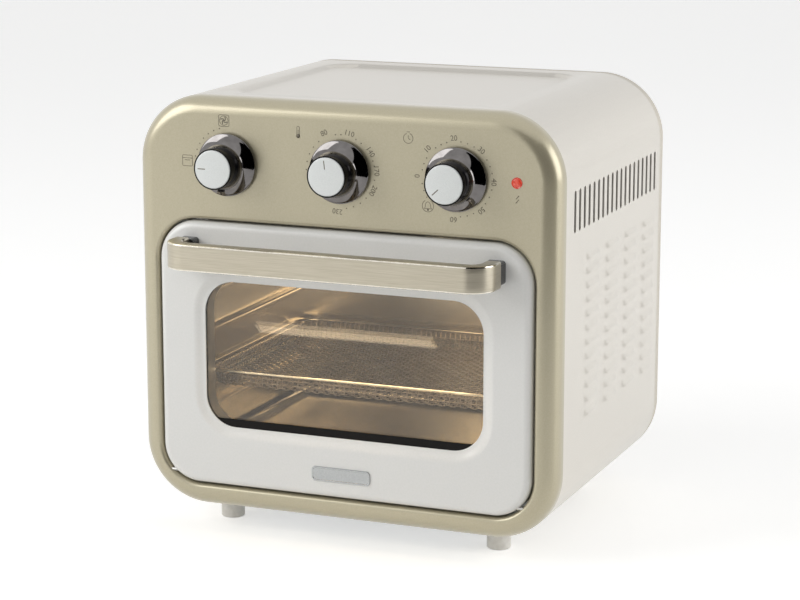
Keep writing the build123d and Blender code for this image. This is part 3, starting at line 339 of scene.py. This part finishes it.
def outline(halfWidth, low, high, radius, perCorner=20, perSide=24):
    # a rectangle with round corners, centred on x = 0, as x and z: each quarter circle is followed
    # by the straight side to the next one, with the same number of points whatever the size
    turns = np.linspace(0, pi / 2, perCorner)
    centres = [(halfWidth - radius, high - radius), (radius - halfWidth, high - radius),
               (radius - halfWidth, low + radius), (halfWidth - radius, low + radius)]
    arcs = [np.stack([x + radius * np.cos(turns + k * pi / 2),
                      z + radius * np.sin(turns + k * pi / 2)], -1)
            for k, (x, z) in enumerate(centres)]
    share = np.linspace(0, 1, perSide + 1)[1:-1, None]
    runs = []
    for k, arc in enumerate(arcs):
        start, stop = arc[-1], arcs[(k + 1) % len(arcs)][0]
        runs += [arc, start + share * (stop - start)]
    return np.concatenate(runs)


def inset(shape, rows):
    # shape is half width, low, high and radius; each row moves it inwards by its first value and
    # sets it at the depth of its second
    half, low, high, radius = shape
    return [(half - a, low + a, high - a, radius - a, depth) for a, depth in rows]


def outset(shape, rows):
    return inset(shape, [(-a, depth) for a, depth in rows])


def upright(flat, depth):
    # points given as x and z, at a depth behind the fascia's face
    return np.stack([flat[:, 0], np.full(len(flat), front / mm + depth), flat[:, 1]], -1)


def frontLoops(profile):
    # each row of the profile is half width, low, high, radius and depth
    return np.array([upright(outline(*shape), depth) for *shape, depth in profile])


axisGap = 0.02  # a turned face starts this far from its axis, as a share or in millimetres


def spun(profile, x, z, count=96):
    # a profile of radius and depth turned about the dial's own axis, which runs along y
    turns = np.linspace(0, 2 * pi, count, endpoint=False)
    profile = np.asarray(profile, float)
    across = x + profile[:, :1] * np.cos(turns)
    up = z + profile[:, :1] * np.sin(turns)
    depth = np.broadcast_to(front / mm + profile[:, 1:], across.shape)
    return np.stack([across, depth, up], -1)


def quarter(width, depth, steps=10):
    # a quarter of an ellipse from (0, depth) to (width, 0), as inset and depth
    turns = np.linspace(0, pi / 2, steps)
    return [(width * (1 - cos(t)), depth * (1 - sin(t))) for t in turns]


def heading(points, axis=0, closed=False):
    # the direction of a line at each of its points, one long
    if closed:
        along = np.roll(points, -1, axis) - np.roll(points, 1, axis)
    else:
        along = np.gradient(points, axis=axis)
    return along / np.linalg.norm(along, axis=-1)[..., None]


# The painted fascia: rounded edge, flat face, opening with a collar. The shapes are half width,
# low, high and radius, and the inner faces are rows of inset and depth
fascia = {"outer": (165, 17.2, 328.2, 50), "round": (13, 14), "depth": 17.2,
          "opening": (148, 34.5, 237.5, 31), "openRound": (3, 4), "collar": 15,
          "collarBack": [(1.92, 15), (1.92, 5.4)],
          "back": [(13.2, 4.4), (6.4, 7.4), (2.4, 14), (2.4, 17.2)]}


def fasciaLoops():
    f = fascia
    width, depth = f["openRound"]
    opening = [(width * (1 - sin(t)), depth * (1 - cos(t))) for t in np.linspace(0, pi / 2, 8)]
    opening += [(0, f["collar"])] + f["collarBack"]
    return frontLoops(inset(f["outer"], [(0, f["depth"])] + quarter(*f["round"], steps=12))
                      + outset(f["opening"], opening) + inset(f["outer"], f["back"]))


place(skin("frontFascia", fasciaLoops(), [finishes["fascia_paint"]], ring=True),
      "casing", "fascia_paint", "front_fascia")

# The door: rounded edge, flat face, and a soft dish that runs down to the glass
door = {"outer": (146.5, 36, 236, 29), "face": -2, "round": 5.5, "back": 15.6,
        "window": (110.2, 81.3, 192.4, 24), "dish": 9, "dishDepth": 2.2, "lip": 0.25,
        "glass": 0.9, "rebate": 6, "behind": 1.5, "skirt": 2.4, "skirtFoot": (1, 3)}


def doorLoops():
    d = door
    outer = [(0, d["back"])] + [(a, d["face"] + y) for a, y in quarter(d["round"], d["round"])]
    # the dish falls as half a cosine wave from the face to the window's edge
    slope = [(d["dish"] * (1 - t), d["face"] + d["dishDepth"] * (1 - cos(pi * t)) / 2)
             for t in np.linspace(0, 1, 14)]
    slope += [(-d["lip"], d["face"] + d["dishDepth"] + d["lip"]), (-d["lip"], d["glass"]),
              (d["rebate"], d["glass"]), (d["rebate"], d["behind"])]
    widen, foot = d["skirtFoot"]
    inner = [(d["skirt"] + widen, d["behind"]), (d["skirt"], foot), (d["skirt"], d["back"])]
    return frontLoops(inset(d["outer"], outer) + outset(d["window"], slope)
                      + inset(d["outer"], inner))


place(skin("doorPanel", doorLoops(), [finishes["door_plastic"]], ring=True),
      "door", "door_plastic", "door_panel")

glass = {"margin": 5.8, "front": 0.95, "back": 4.05, "edge": 0.4}


def glassLoops():
    g = glass
    rows = [(g["margin"] - g["edge"], g["back"]), (g["margin"], g["back"] - g["edge"]),
            (g["margin"], g["front"] + g["edge"]), (g["margin"] - g["edge"], g["front"])]
    return frontLoops(outset(door["window"], rows))


place(skin("doorGlass", glassLoops(), [finishes["door_glass"]]),
      "door", "door_glass", "door_glass")

band = {"height": 6.5, "depth": 0.93, "thickness": 0.05, "steps": 121}


def glassBand():
    # the strip between the window's lower edge and a level line: the edge is straight, then rises
    # round each corner as the radius less the root of radius squared less x squared
    half, low, _, radius = door["window"]
    straight = half - radius
    reach = straight + (radius ** 2 - (radius - band["height"]) ** 2) ** 0.5
    x = np.linspace(-reach, reach, band["steps"])
    beyond = np.clip(np.abs(x) - straight, 0, None)
    lower = low + radius - np.sqrt(radius ** 2 - beyond ** 2)
    upper = np.full_like(x, low + band["height"])
    near = [upright(np.stack([x, z], -1), band["depth"]) for z in (lower, upper)]
    far = [side + (0, band["thickness"], 0) for side in near[::-1]]
    return skin("glassBand", np.stack([*near, *far], 1), [blackWindowStrip])


place(glassBand(), "door", "black_rubber")

# The handle: a strap bent to a wide bracket, its section carried along the path. The section's
# corners are cut, the two outer ones softly, and the sides named polished are diamond-cut
handle = {"half": 121.5, "level": 216, "start": -12, "front": -34.5, "round": 13.5, "thick": 11,
          "tall": 19.5, "edge": 1.1, "soft": 0.3, "polished": (0, 2, 3, 7, 8, 10)}


def handleLoops():
    h = handle
    legs = np.linspace(h["start"], h["front"] + h["round"], 4)[:-1]
    left = [(-h["half"], y) for y in legs]
    left += [(a - h["half"], h["front"] + y)
             for a, y in quarter(h["round"], h["round"], steps=16)]
    across = np.linspace(h["round"] - h["half"], h["half"] - h["round"], 24)[1:-1]
    path = np.array(left + [(x, h["front"]) for x in across] + [(-x, y) for x, y in left[::-1]])
    along = heading(path)
    out = np.stack([along[:, 1], -along[:, 0]], -1)  # points away from the door
    a, b, c, soft = h["thick"] / 2, h["tall"] / 2, h["edge"], h["soft"] * h["edge"]
    section = np.array([(-a, c - b), (c - a, -b), (a - c, -b), (a - soft, soft - b), (a, c - b),
                        (a, -b / 2), (a, b / 2), (a, b - c), (a - soft, b - soft), (a - c, b),
                        (c - a, b), (-a, b - c)])
    plan = path[:, None] + section[None, :, :1] * out[:, None]
    up = np.broadcast_to(h["level"] + section[:, 1], plan.shape[:2])
    return np.stack([plan[..., 0], front / mm + plan[..., 1], up], -1)


def handleBar():
    loops = handleLoops()
    piece = skin("handleBar", loops, [finishes["handle_metal"], polishedEdge], smoothAngle=25)
    rows, sides = loops.shape[:2]
    numbers = np.zeros(len(piece.data.polygons), np.int32)
    numbers[:(rows - 1) * sides] = np.tile(np.isin(np.arange(sides), handle["polished"]), rows - 1)
    piece.data.polygons.foreach_set("material_index", numbers)
    return piece


place(handleBar(), "door", "handle_metal", "handle_bar")
print("fascia, door, glass and handle made")

# Knobs: each a lip, a hollow flare, a black grip and a pale cap with its pointer. Rows of the lip
# are inset from the skirt and depth from the lift, rows of the rest are radius and depth
dials = {"mode": {"x": -89.3, "pointer": -90}, "temperature": {"x": 0, "pointer": -8},
         "timer": {"x": 89.3, "pointer": 228}}
knob = {"level": 279.8, "front": -26, "lift": -2.5, "skirt": 23, "grip": 15, "cap": 14.1,
        "lip": [(1.6, 0), (0.3, 0), (0, -0.4), (0, -1.0), (0.3, -1.4)], "flareTop": (0.9, 1.6),
        "flareEnd": -12.5, "flarePower": 2.2, "gripEdge": [(0, 0.5), (0.15, 0.12), (0.5, 0)],
        "gripSteps": (-14, -19), "seat": 2.9, "seatGap": 0.05, "bore": 4, "boreEnd": -4.5, "dome": 0.6,
        "capEdge": [(0.3, 0.12), (0, 0.5), (0, 2.8)], "capFlat": 0.8,
        "pointer": {"near": 5.8, "far": 11.4, "width": 0.7, "proud": 0.3, "sunk": 0.08}}


def knobBody(name, x):
    k = knob
    lip = [(k["skirt"] - a, k["lift"] + y) for a, y in k["lip"]]
    # the flare is hollow: radius falls with a power of the way from lip to grip
    a, drop = k["flareTop"]
    t = np.linspace(0, 1, 18)
    flare = np.stack([k["grip"] + (k["skirt"] - a - k["grip"]) * (1 - t) ** k["flarePower"],
                      k["lift"] - drop + t * (k["flareEnd"] - k["lift"] + drop)], -1).tolist()
    grip = [(k["grip"], y) for y in k["gripSteps"]]
    grip += [(k["grip"] - a, k["front"] + y) for a, y in k["gripEdge"]]
    hole, seat = k["cap"] + k["seatGap"], k["front"] + k["seat"]
    grip += [(hole, k["front"]), (hole, seat), (k["bore"], seat), (k["bore"], k["boreEnd"])]
    chromeThenBlack = [0] * (len(lip) + len(flare)) + [1] * len(grip)
    return skin(name, spun(lip + flare + grip, x, k["level"]),
                [finishes["knob_chrome"], gripLacquer], smoothAngle=35, materialOf=chromeThenBlack)


def capFace(radius):
    # the cap is domed: its depth falls with the square of the radius
    return knob["front"] - knob["dome"] * (1 - (radius / knob["cap"]) ** 2)


def knobCap(name, x, pointer):
    k, p = knob, knob["pointer"]
    radius = np.linspace(axisGap, k["cap"] - k["capFlat"], 14)
    face = np.stack([radius, capFace(radius)], -1).tolist()
    edge = [(k["cap"] - a, k["front"] + y) for a, y in k["capEdge"]]
    cap = skin(name, spun(face + edge, x, k["level"]), [finishes["cap_plastic"], dialInk])
    # the pointer is a round-ended bar that stands a little proud
    half = p["width"] / 2
    ends = np.linspace(0, pi, 9)
    shape = [(half * cos(t), p["far"] + half * sin(t)) for t in ends]
    shape += [(-half * cos(t), p["near"] - half * sin(t)) for t in ends]
    a = radians(pointer)
    flat = np.array([(u * cos(a) + v * sin(a), v * cos(a) - u * sin(a)) for u, v in shape])
    surface = capFace(np.hypot(flat[:, 0], flat[:, 1]))
    rows = [upright(flat + (x, k["level"]), surface + lift) for lift in (p["proud"], -p["sunk"])]
    return cap, skin(name + "Pointer", rows, [dialInk])


for dial, spec in dials.items():
    body = bodyOf[dial + "_knob"]
    place(knobBody(dial + "Knob", spec["x"]), body, "knob_chrome", dial + "_knob")
    cap, bar = knobCap(dial + "KnobCap", spec["x"], spec["pointer"])
    place(cap, body, "cap_plastic", dial + "_knob_cap")
    place(bar, body, "dark_plastic")

# The power lamp: a domed lens in a thin ring. Edge rows are radius and share of the lens's height
lamp = {"x": 134, "lens": 3.2, "front": (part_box("lamp_lens")[0].y - front) / mm, "dome": 0.55,
        "edge": [(3.3, 0.5), (3.75, 0.6), (4, 0.35)], "stem": [(4, 0.05), (3.1, 0.1), (3.1, 9)]}


def lampLens():
    # the dome is a part of an ellipse: the root of one less the radius squared
    dome = [(lamp["lens"] * a, 1 - lamp["dome"] + lamp["dome"] * (1 - a * a) ** 0.5)
            for a in np.linspace(axisGap, 1, 12)]
    rows = [(radius, lamp["front"] * share) for radius, share in dome + lamp["edge"]]
    return skin("lampLens", spun(rows + lamp["stem"], lamp["x"], knob["level"], 48),
                [finishes["lamp_red"]])


place(lampLens(), "casing", "lamp_red", "lamp_lens")

# The badge: a bare plaque with a raised rim. Rows are inset and depth from the rim's top
badge = {"half": 23.25, "low": 48.5, "high": 59.5, "radius": 3, "narrow": 0.9, "proud": 1.0,
         "foot": 0.02,
         "rows": [(0, 0.35), (0.12, 0.1), (0.4, 0), (0.8, 0), (1.1, 0.12), (1.35, 0.45)]}


def badgeLoops():
    b, face = badge, door["face"]
    rows = [(0, face + b["foot"])] + [(a, face - b["proud"] + y) for a, y in b["rows"]]
    return frontLoops([(b["half"] - a, b["low"] + a, b["high"] - a, b["radius"] - a * b["narrow"],
                        depth) for a, depth in rows])


place(skin("doorBadge", badgeLoops(), [finishes["badge_metal"]], smoothAngle=30),
      "door", "badge_metal", "door_badge")
print("knobs, lamp and badge made")

# Dial marks: numbers, dots and plain pictograms, printed on the fascia. Each number has its angle
# clockwise from the top and its distance from the dial's middle
marks = {"height": 5.4, "stroke": 0.42, "dot": 0.5, "dotRing": 26.8, "proud": 0.06}
numbers = {
    "temperature": [("80", -25, 30), ("110", 14, 28.8), ("140", 56, 28), ("170", 85, 28),
                    ("200", 116, 28), ("230", 185, 29)],
    "timer": [("0", 271, 30), ("10", 312, 30), ("20", 355, 29), ("30", 40, 28), ("40", 91, 27.5),
              ("50", 139, 28), ("60", 185, 29)],
}
dots = {"mode": np.linspace(-80, -14, 7),
        "temperature": np.r_[np.linspace(-90, -39, 5), -8, 1, 27, 37, 70, 78, 100, 132, 145, 158,
                             170],
        "timer": np.r_[281, 291, 301, 323, 333, 343, 6, 17, 28, 56, 67, 78, 103, 115, 127, 152,
                       163, 174, 238, 249, 260]}


def around(dial, angle, reach):
    a = radians(angle)
    return dials[dial]["x"] + reach * sin(a), knob["level"] + reach * cos(a)


def stroke(points, width, closed=False):
    # a flat ribbon: each point of the line is moved half a width to both sides along its normal
    points = np.asarray(points, float)
    along = heading(points, closed=closed)
    side = np.stack([-along[:, 1], along[:, 0]], -1) * width / 2
    count = len(points)
    rows = np.arange(count if closed else count - 1)
    after = (rows + 1) % count
    faces = np.stack([rows, rows + count, after + count, after], -1)
    return np.concatenate([points + side, points - side]), faces


def circle(x, z, radius, start=0, stop=360, count=28):
    turns = np.radians(np.linspace(start, stop, count, endpoint=stop - start < 360))
    return np.stack([x + radius * np.sin(turns), z + radius * np.cos(turns)], -1)


def disc(x, z, radius, count=12):
    return circle(x, z, radius, count=count), [list(range(count))]


def letters(text, x, z, turned):
    # Blender's own font as a flat mesh, centred, turned clockwise and carried to its place
    curve = bpy.data.curves.new("digits", "FONT")
    curve.body, curve.size = text, marks["height"] * mm
    curve.align_x, curve.align_y = "CENTER", "CENTER"
    source = linked("digits", curve)
    bpy.context.view_layer.update()
    mesh = bpy.data.meshes.new_from_object(source)
    flat = np.zeros(len(mesh.vertices) * 3)
    mesh.vertices.foreach_get("co", flat)
    across, up = flat.reshape(-1, 3)[:, :2].T / mm
    faces = [list(face.vertices) for face in mesh.polygons]
    bpy.data.objects.remove(source)
    bpy.data.meshes.remove(mesh)
    a = radians(turned)
    moved = np.stack([x + across * cos(a) + up * sin(a), z - across * sin(a) + up * cos(a)], -1)
    return moved, faces


signAt = {"oven": (dials["mode"]["x"] - 33, knob["level"] + 1),
          "fan": (dials["mode"]["x"] - 3, knob["level"] + 32),
          "thermometer": (dials["temperature"]["x"] - 33, knob["level"] + 27),
          "clock": (dials["timer"]["x"] - 37, knob["level"] + 27),
          "bell": around("timer", 227, 30),
          "flash": (lamp["x"] + 0.5, knob["level"] - 11.5)}


def fanBlade(turn):
    # the angle swings on as a quarter sine while the distance grows evenly
    t = np.linspace(0, 1, 10)
    reach, swing = 0.8 + 2.1 * t, radians(turn) + 1.2 * np.sin(pi * t / 2)
    return stroke(np.stack([reach * np.cos(swing), reach * np.sin(swing)], -1), 0.8)


def signShapes():
    # strokes and discs about each sign's own middle, in millimetres
    w = marks["stroke"]
    tube = np.concatenate([circle(0, 3, 1.0, -90, 90, 9), circle(0, -2.6, 1.7, 140, 220, 9)])
    bell = [(-3, -2), (-2.1, -1), (-1.9, 1), (-1.2, 2.4), (0, 3), (1.2, 2.4), (1.9, 1), (2.1, -1),
            (3, -2)]
    return {
        "oven": [stroke(outline(4, -4, 4, 0.8, 4, 3), w, True), stroke([(-4, 1.9), (4, 1.9)], w),
                 stroke([(-2.2, 0.4), (2.2, 0.4)], w)],
        "fan": [stroke(outline(4.2, -4.2, 4.2, 1.2, 4, 3), w, True),
                stroke(circle(0, 0, 3.4), w, True), disc(0, 0, 0.7),
                *[fanBlade(turn) for turn in range(0, 360, 90)]],
        "thermometer": [stroke(tube, w, True), disc(0, -3.1, 1.5), stroke([(0, -2), (0, 1.5)], w)],
        "clock": [stroke(circle(0, 0, 3.6, 20, 340), w), stroke([(0, 2.2), (0, 0), (1.6, -1)], w),
                  stroke([(-1.2, 4.6), (1.2, 4.6)], w)],
        "bell": [stroke(bell, w, True), disc(0, -2.9, 0.7), stroke(circle(0, 0, 4.3, 30, 330), w)],
        "flash": [stroke([(1.2, 2.6), (-1.1, 0.2), (1.0, -0.1), (-1.2, -2.8)], 0.6)],
    }


def faceFront(working):
    back = [face for face in working.faces if face.normal.y > 0]
    bmesh.ops.reverse_faces(working, faces=back)


def dialMarks():
    parts = [(points + signAt[sign], faces) for sign, shapes in signShapes().items()
             for points, faces in shapes]
    parts += [disc(*around(dial, angle, marks["dotRing"]), marks["dot"])
              for dial, angles in dots.items() for angle in angles]
    parts += [letters(text, *around(dial, angle, reach), angle)
              for dial, rows in numbers.items() for text, angle, reach in rows]
    flat, faces = joined(parts)
    piece = meshObject("dialMarks", upright(flat, -marks["proud"]), faces, [dialInk])
    reworked(piece.data, faceFront)
    thicken = piece.modifiers.new("ink", "SOLIDIFY")
    thicken.thickness, thicken.offset = marks["proud"] * mm, -1
    return piece


place(dialMarks(), "casing", "dark_plastic")
print("dial marks made")

# The basket: two sets of wires woven over and under, bent up at the rim. A wire swings by "wire"
# and its radius is "thickness" of that. The rim rows are how far out and how far above the top each
# wire passes; "bend" is how much the wire's run along the bottom is shortened and how high above
# the bottom its wall ends; a hoop's row is how far out, above which level, how far, and its radius
basket = {"wire": 0.55, "thickness": 0.75, "pitch": 4.2, "perPitch": 2, "radius": 15.5,
          "wall": 0.7, "margin": (2, 1),
          "bottom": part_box("basket_mesh")[0].z / mm + 0.8, "top": 117.0,
          "rim": [(5.9, 0), (2.95, 0.4), (0.3, -0.8), (0, -6)], "bend": (0.8, 1.2),
          "bead": 1.25, "beadRadius": 20.7, "beadLift": 0.2,
          "hoops": [(0, "bottom", 3.6, 0.42), (0, "bottom", 7.4, 0.42), (3, "top", 0.3, 0.4)]}


def wires(along, places, chords, centre):
    # each wire crosses the flange, falls down one wall, crosses the bottom and comes back up; on
    # the bottom its height is a sine of the way along, and neighbours are half a wave apart
    b = basket
    short, rise = b["bend"]
    t = np.linspace(-1, 1, int(2 * b["perPitch"] * max(chords) / b["pitch"]))
    phase = np.arange(len(places))[:, None] * pi
    reach = chords[:, None]
    run = t[None, :] * (reach - short)
    wave = b["bottom"] + b["wire"] * np.sin(run * pi / b["pitch"] + phase)
    out = np.array([a for a, lift in b["rim"]] + [0])
    falls = [b["top"] + lift for a, lift in b["rim"]] + [b["bottom"] + rise]
    ends = np.tile(falls, (len(places), 1))
    level = np.concatenate([ends, wave, ends[:, ::-1]], 1)
    span = np.concatenate([-reach - out, run, reach + out[::-1]], 1)
    fixed = np.broadcast_to(places[:, None], span.shape)
    pair = (span, centre + fixed) if along == "x" else (fixed, centre + span)
    return np.stack([*pair, level], -1)


def tubes(lines, radius, sides):
    # a tube about each line: its section, with 4 sides a square, stands across the line's own
    # direction, and one of its axes is the x or y that stays the same along the line
    along = heading(lines, axis=1)
    keepsY = np.ptp(lines[0, :, 1]) < 1e-6
    beside = np.broadcast_to([0, 1, 0] if keepsY else [1, 0, 0], along.shape)
    over = np.cross(along, beside)
    over /= np.linalg.norm(over, axis=2)[..., None]
    turns = np.arange(sides) * 2 * pi / sides + pi / 4
    offset = (np.cos(turns)[:, None] * beside[:, :, None]
              + np.sin(turns)[:, None] * over[:, :, None]) * radius
    points = lines[:, :, None] + offset
    count, length = lines.shape[:2]
    starts = np.arange(count) * length * sides
    faces = (starts[:, None, None] + gridFaces(length, sides, False)).reshape(-1, 4)
    ends = starts[:, None] + np.arange(sides)
    caps = np.concatenate([ends[:, ::-1], ends + (length - 1) * sides])
    return points.reshape(-1, 3), np.concatenate([faces, caps])


def hoop(halfWide, halfDepth, radius, level, thick, centre, sides):
    # a round bar bent to a rectangle with round corners: a circle carried round the outline
    ring = outline(halfWide, -halfDepth, halfDepth, radius, 12, 24)
    along = heading(ring, closed=True)
    out = np.stack([along[:, 1], -along[:, 0]], -1)
    turns = np.arange(sides) * 2 * pi / sides + pi / 4
    plan = ring[:, None] + thick * np.cos(turns)[None, :, None] * out[:, None]
    up = np.broadcast_to(level + thick * np.sin(turns), plan.shape[:2])
    points = np.stack([plan[..., 0], centre + plan[..., 1], up], -1)
    return points.reshape(-1, 3), gridFaces(len(ring), sides, True)


def planOf(box, margin):
    # half width, half depth and the middle's y of a box, in millimetres
    low, high = box
    return ((high.x - low.x) / 2 / mm - margin, (high.y - low.y) / 2 / mm - margin,
            (low.y + high.y) / 2 / mm)


def basketRim():
    b = basket
    halfWide, halfDepth, centre = planOf(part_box("basket_rim"), b["bead"])
    points, faces = hoop(halfWide, halfDepth, b["beadRadius"], b["top"] + b["beadLift"], b["bead"],
                         centre, 12)
    return meshObject("basketRim", points, faces, [finishes["basket_steel"]], 60)


def wovenBasket():
    b = basket
    halfWide, halfDepth, centre = planOf(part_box("basket_mesh"), b["wall"])

    def chord(places, own, other):
        # how far the rounded rectangle reaches across at each place
        beyond = np.clip(np.abs(places) - (own - b["radius"]), 0, b["radius"])
        return other - b["radius"] + np.sqrt(b["radius"] ** 2 - beyond ** 2)

    first, last = b["margin"]
    parts = []
    for along, own, other in (("x", halfDepth, halfWide), ("y", halfWide, halfDepth)):
        places = np.arange(first - own, own - last, b["pitch"])
        lines = wires(along, places, chord(places, own, other), centre)
        parts.append(tubes(lines, b["wire"] * b["thickness"], 4))
    for out, base, lift, thick in b["hoops"]:
        parts.append(hoop(halfWide + out, halfDepth + out, b["radius"] + out, b[base] + lift,
                          thick, centre, 4))
    return meshObject("wovenBasket", *joined(parts), [wireSteel], 80)


place(wovenBasket(), "basket", "basket_steel", "basket_mesh")
place(basketRim(), "basket", "basket_steel", "basket_rim")
print("basket woven")

# The other nodes keep their shape: a merged copy, smooth where the surface is round
copied = {"merge": 2e-6, "smoothAngle": 28}


def mergeDoubles(working):
    bmesh.ops.remove_doubles(working, verts=working.verts, dist=copied["merge"])


def smoothCopy(node):
    words = node.split("_")
    name = words[0] + "".join(word.capitalize() for word in words[1:])
    mesh = frame["nodes"][node].data.copy()
    mesh.name = name
    mesh.materials.clear()
    mesh.materials.append(finishes[slotOf[node]])
    reworked(mesh, mergeDoubles)
    piece = smoothObject(name, mesh, copied["smoothAngle"])
    return place(piece, bodyOf[node], slotOf[node], node)


replaced = {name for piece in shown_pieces() for name in piece.get("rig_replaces", [])}
for node in slotOf:
    if node not in replaced:
        smoothCopy(node)
print("other nodes dressed:", len(slotOf) - len(replaced))

# Floor, light and camera
table = {"half": 9, "glow": 0.42}


def shownRay(tree):
    # 1 for what the eye, a reflection or the glass sees, 0 for light that falls on the object
    rays = addNode(tree, "LightPath").outputs
    shown = rays["Is Camera Ray"]
    for ray in ("Is Glossy Ray", "Is Transmission Ray"):
        shown = addNode(tree, "Math", {"operation": "MAXIMUM"}, {0: shown, 1: rays[ray]}).outputs[0]
    return shown


def whiteTable():
    # matt white paper: a little even light of its own for the eye and for reflections, so that it
    # meets the white background, while the object's shadow stays on it
    material = finish("matWhitePaper", "f6f6f5", "f2f2f1", (0.5, 0.6), 0.0,
                      {"kind": "grain", "size": 40.0})
    tree = material.node_tree
    paper = tree.nodes["Principled BSDF"].outputs["BSDF"]
    glow = addNode(tree, "Emission", inputs={"Color": linear("ffffff"), "Strength": table["glow"]})
    lit = addNode(tree, "AddShader", inputs={0: paper, 1: glow.outputs["Emission"]})
    mixOutput(tree, shownRay(tree), paper, lit.outputs["Shader"])
    return material


floorMesh = bpy.data.meshes.new("floor")
corners = [(-1, -1), (1, -1), (1, 1), (-1, 1)]
floorMesh.from_pydata([(x * table["half"], y * table["half"], 0) for x, y in corners], [],
                      [(0, 1, 2, 3)])
floor = linked("floor", floorMesh)
floorMesh.materials.append(whiteTable())

lights = {
    "leftSoftbox": {"at": (-1.5, -1.2, 1.2), "aim": (0, -0.05, 0.18), "size": 1.4, "watts": 20},
    "topSoftbox": {"at": (0.1, -0.1, 2.1), "aim": (0, 0, 0.1), "size": 1.8, "watts": 1},
    "rightSoftbox": {"at": (2.2, 0.5, 0.9), "aim": (0.1, 0, 0.15), "size": 1.5, "watts": 20},
    "ovenGlow": {"at": (0, front + 0.045, 0.199), "aim": (0, front + 0.13, 0.1), "size": 0.14,
                 "watts": 0.26, "colour": (1.0, 0.8, 0.55)},
}
for name, spec in lights.items():
    data = bpy.data.lights.new(name, "AREA")
    data.energy, data.size = spec["watts"], spec["size"]
    data.color = spec.get("colour", (1, 1, 1))
    lampObject = linked(name, data)
    lampObject.location = spec["at"]
    aim = Vector(spec["aim"]) - Vector(spec["at"])
    lampObject.rotation_euler = aim.to_track_quat("-Z", "Y").to_euler()

# a curved black card in front to the right, seen by reflections only: the dark side of
# chrome and paint
card = {"radius": 1.15, "from": -86, "to": -12, "steps": 24, "low": 0.004, "high": 1.25}


def blackCard():
    # an upright strip of a cylinder about the object: an angle and a height
    turns = np.radians(np.linspace(card["from"], card["to"], card["steps"] + 1))
    a, z = np.meshgrid(turns, [card["low"], card["high"]], indexing="ij")
    points = np.stack([card["radius"] * np.cos(a), card["radius"] * np.sin(a), z], -1)
    first = np.arange(0, 2 * card["steps"], 2)
    mesh = bpy.data.meshes.new("blackCard")
    mesh.from_pydata(points.reshape(-1, 3), [],
                     np.stack([first, first + 1, first + 3, first + 2], -1).tolist())
    mesh.materials.append(finish("blackFeltCard", "050505", "020202", (0.9, 1.0), 0.0,
                                 {"kind": "grain", "size": 3.0},
                                 shader={"Specular IOR Level": 0.0}))
    piece = linked("blackCard", mesh)
    piece.visible_camera = piece.visible_diffuse = False
    piece.visible_transmission = piece.visible_shadow = False
    return piece


blackCard()

# the light that falls on the object is stronger from the sides than from above
sky = {"level": 0.66, "overhead": 0.2, "shown": 1.0}
world = bpy.data.worlds.new("whiteStudio")
scene.world = world
world.use_nodes = True
tree = world.node_tree
direction = addNode(tree, "TexCoord").outputs["Generated"]
towards = addNode(tree, "SeparateXYZ", inputs={"Vector": direction})
fall = addNode(tree, "MapRange", inputs={"Value": towards.outputs["Z"], "To Min": sky["level"],
                                         "To Max": sky["overhead"]})
strength = addNode(tree, "MapRange", inputs={"Value": shownRay(tree), "To Max": sky["shown"],
                                             "To Min": fall.outputs["Result"]})
background = tree.nodes["Background"]
background.inputs["Color"].default_value = (1, 1, 1, 1)
tree.links.new(strength.outputs["Result"], background.inputs["Strength"])

view = {"at": (0.7054, front - 1.6287, 0.5660), "pitch": 12.095, "yaw": 22.04, "lens": 112.72,
        "sensor": 36}
cameraData = bpy.data.cameras.new("camera")
cameraData.lens, cameraData.sensor_width = view["lens"], view["sensor"]
camera = linked("camera", cameraData)
camera.location = view["at"]
camera.rotation_euler = (radians(90 - view["pitch"]), 0, radians(view["yaw"]))
scene.camera = camera
scene.view_settings.view_transform = "Standard"
print("floor, light and camera set")
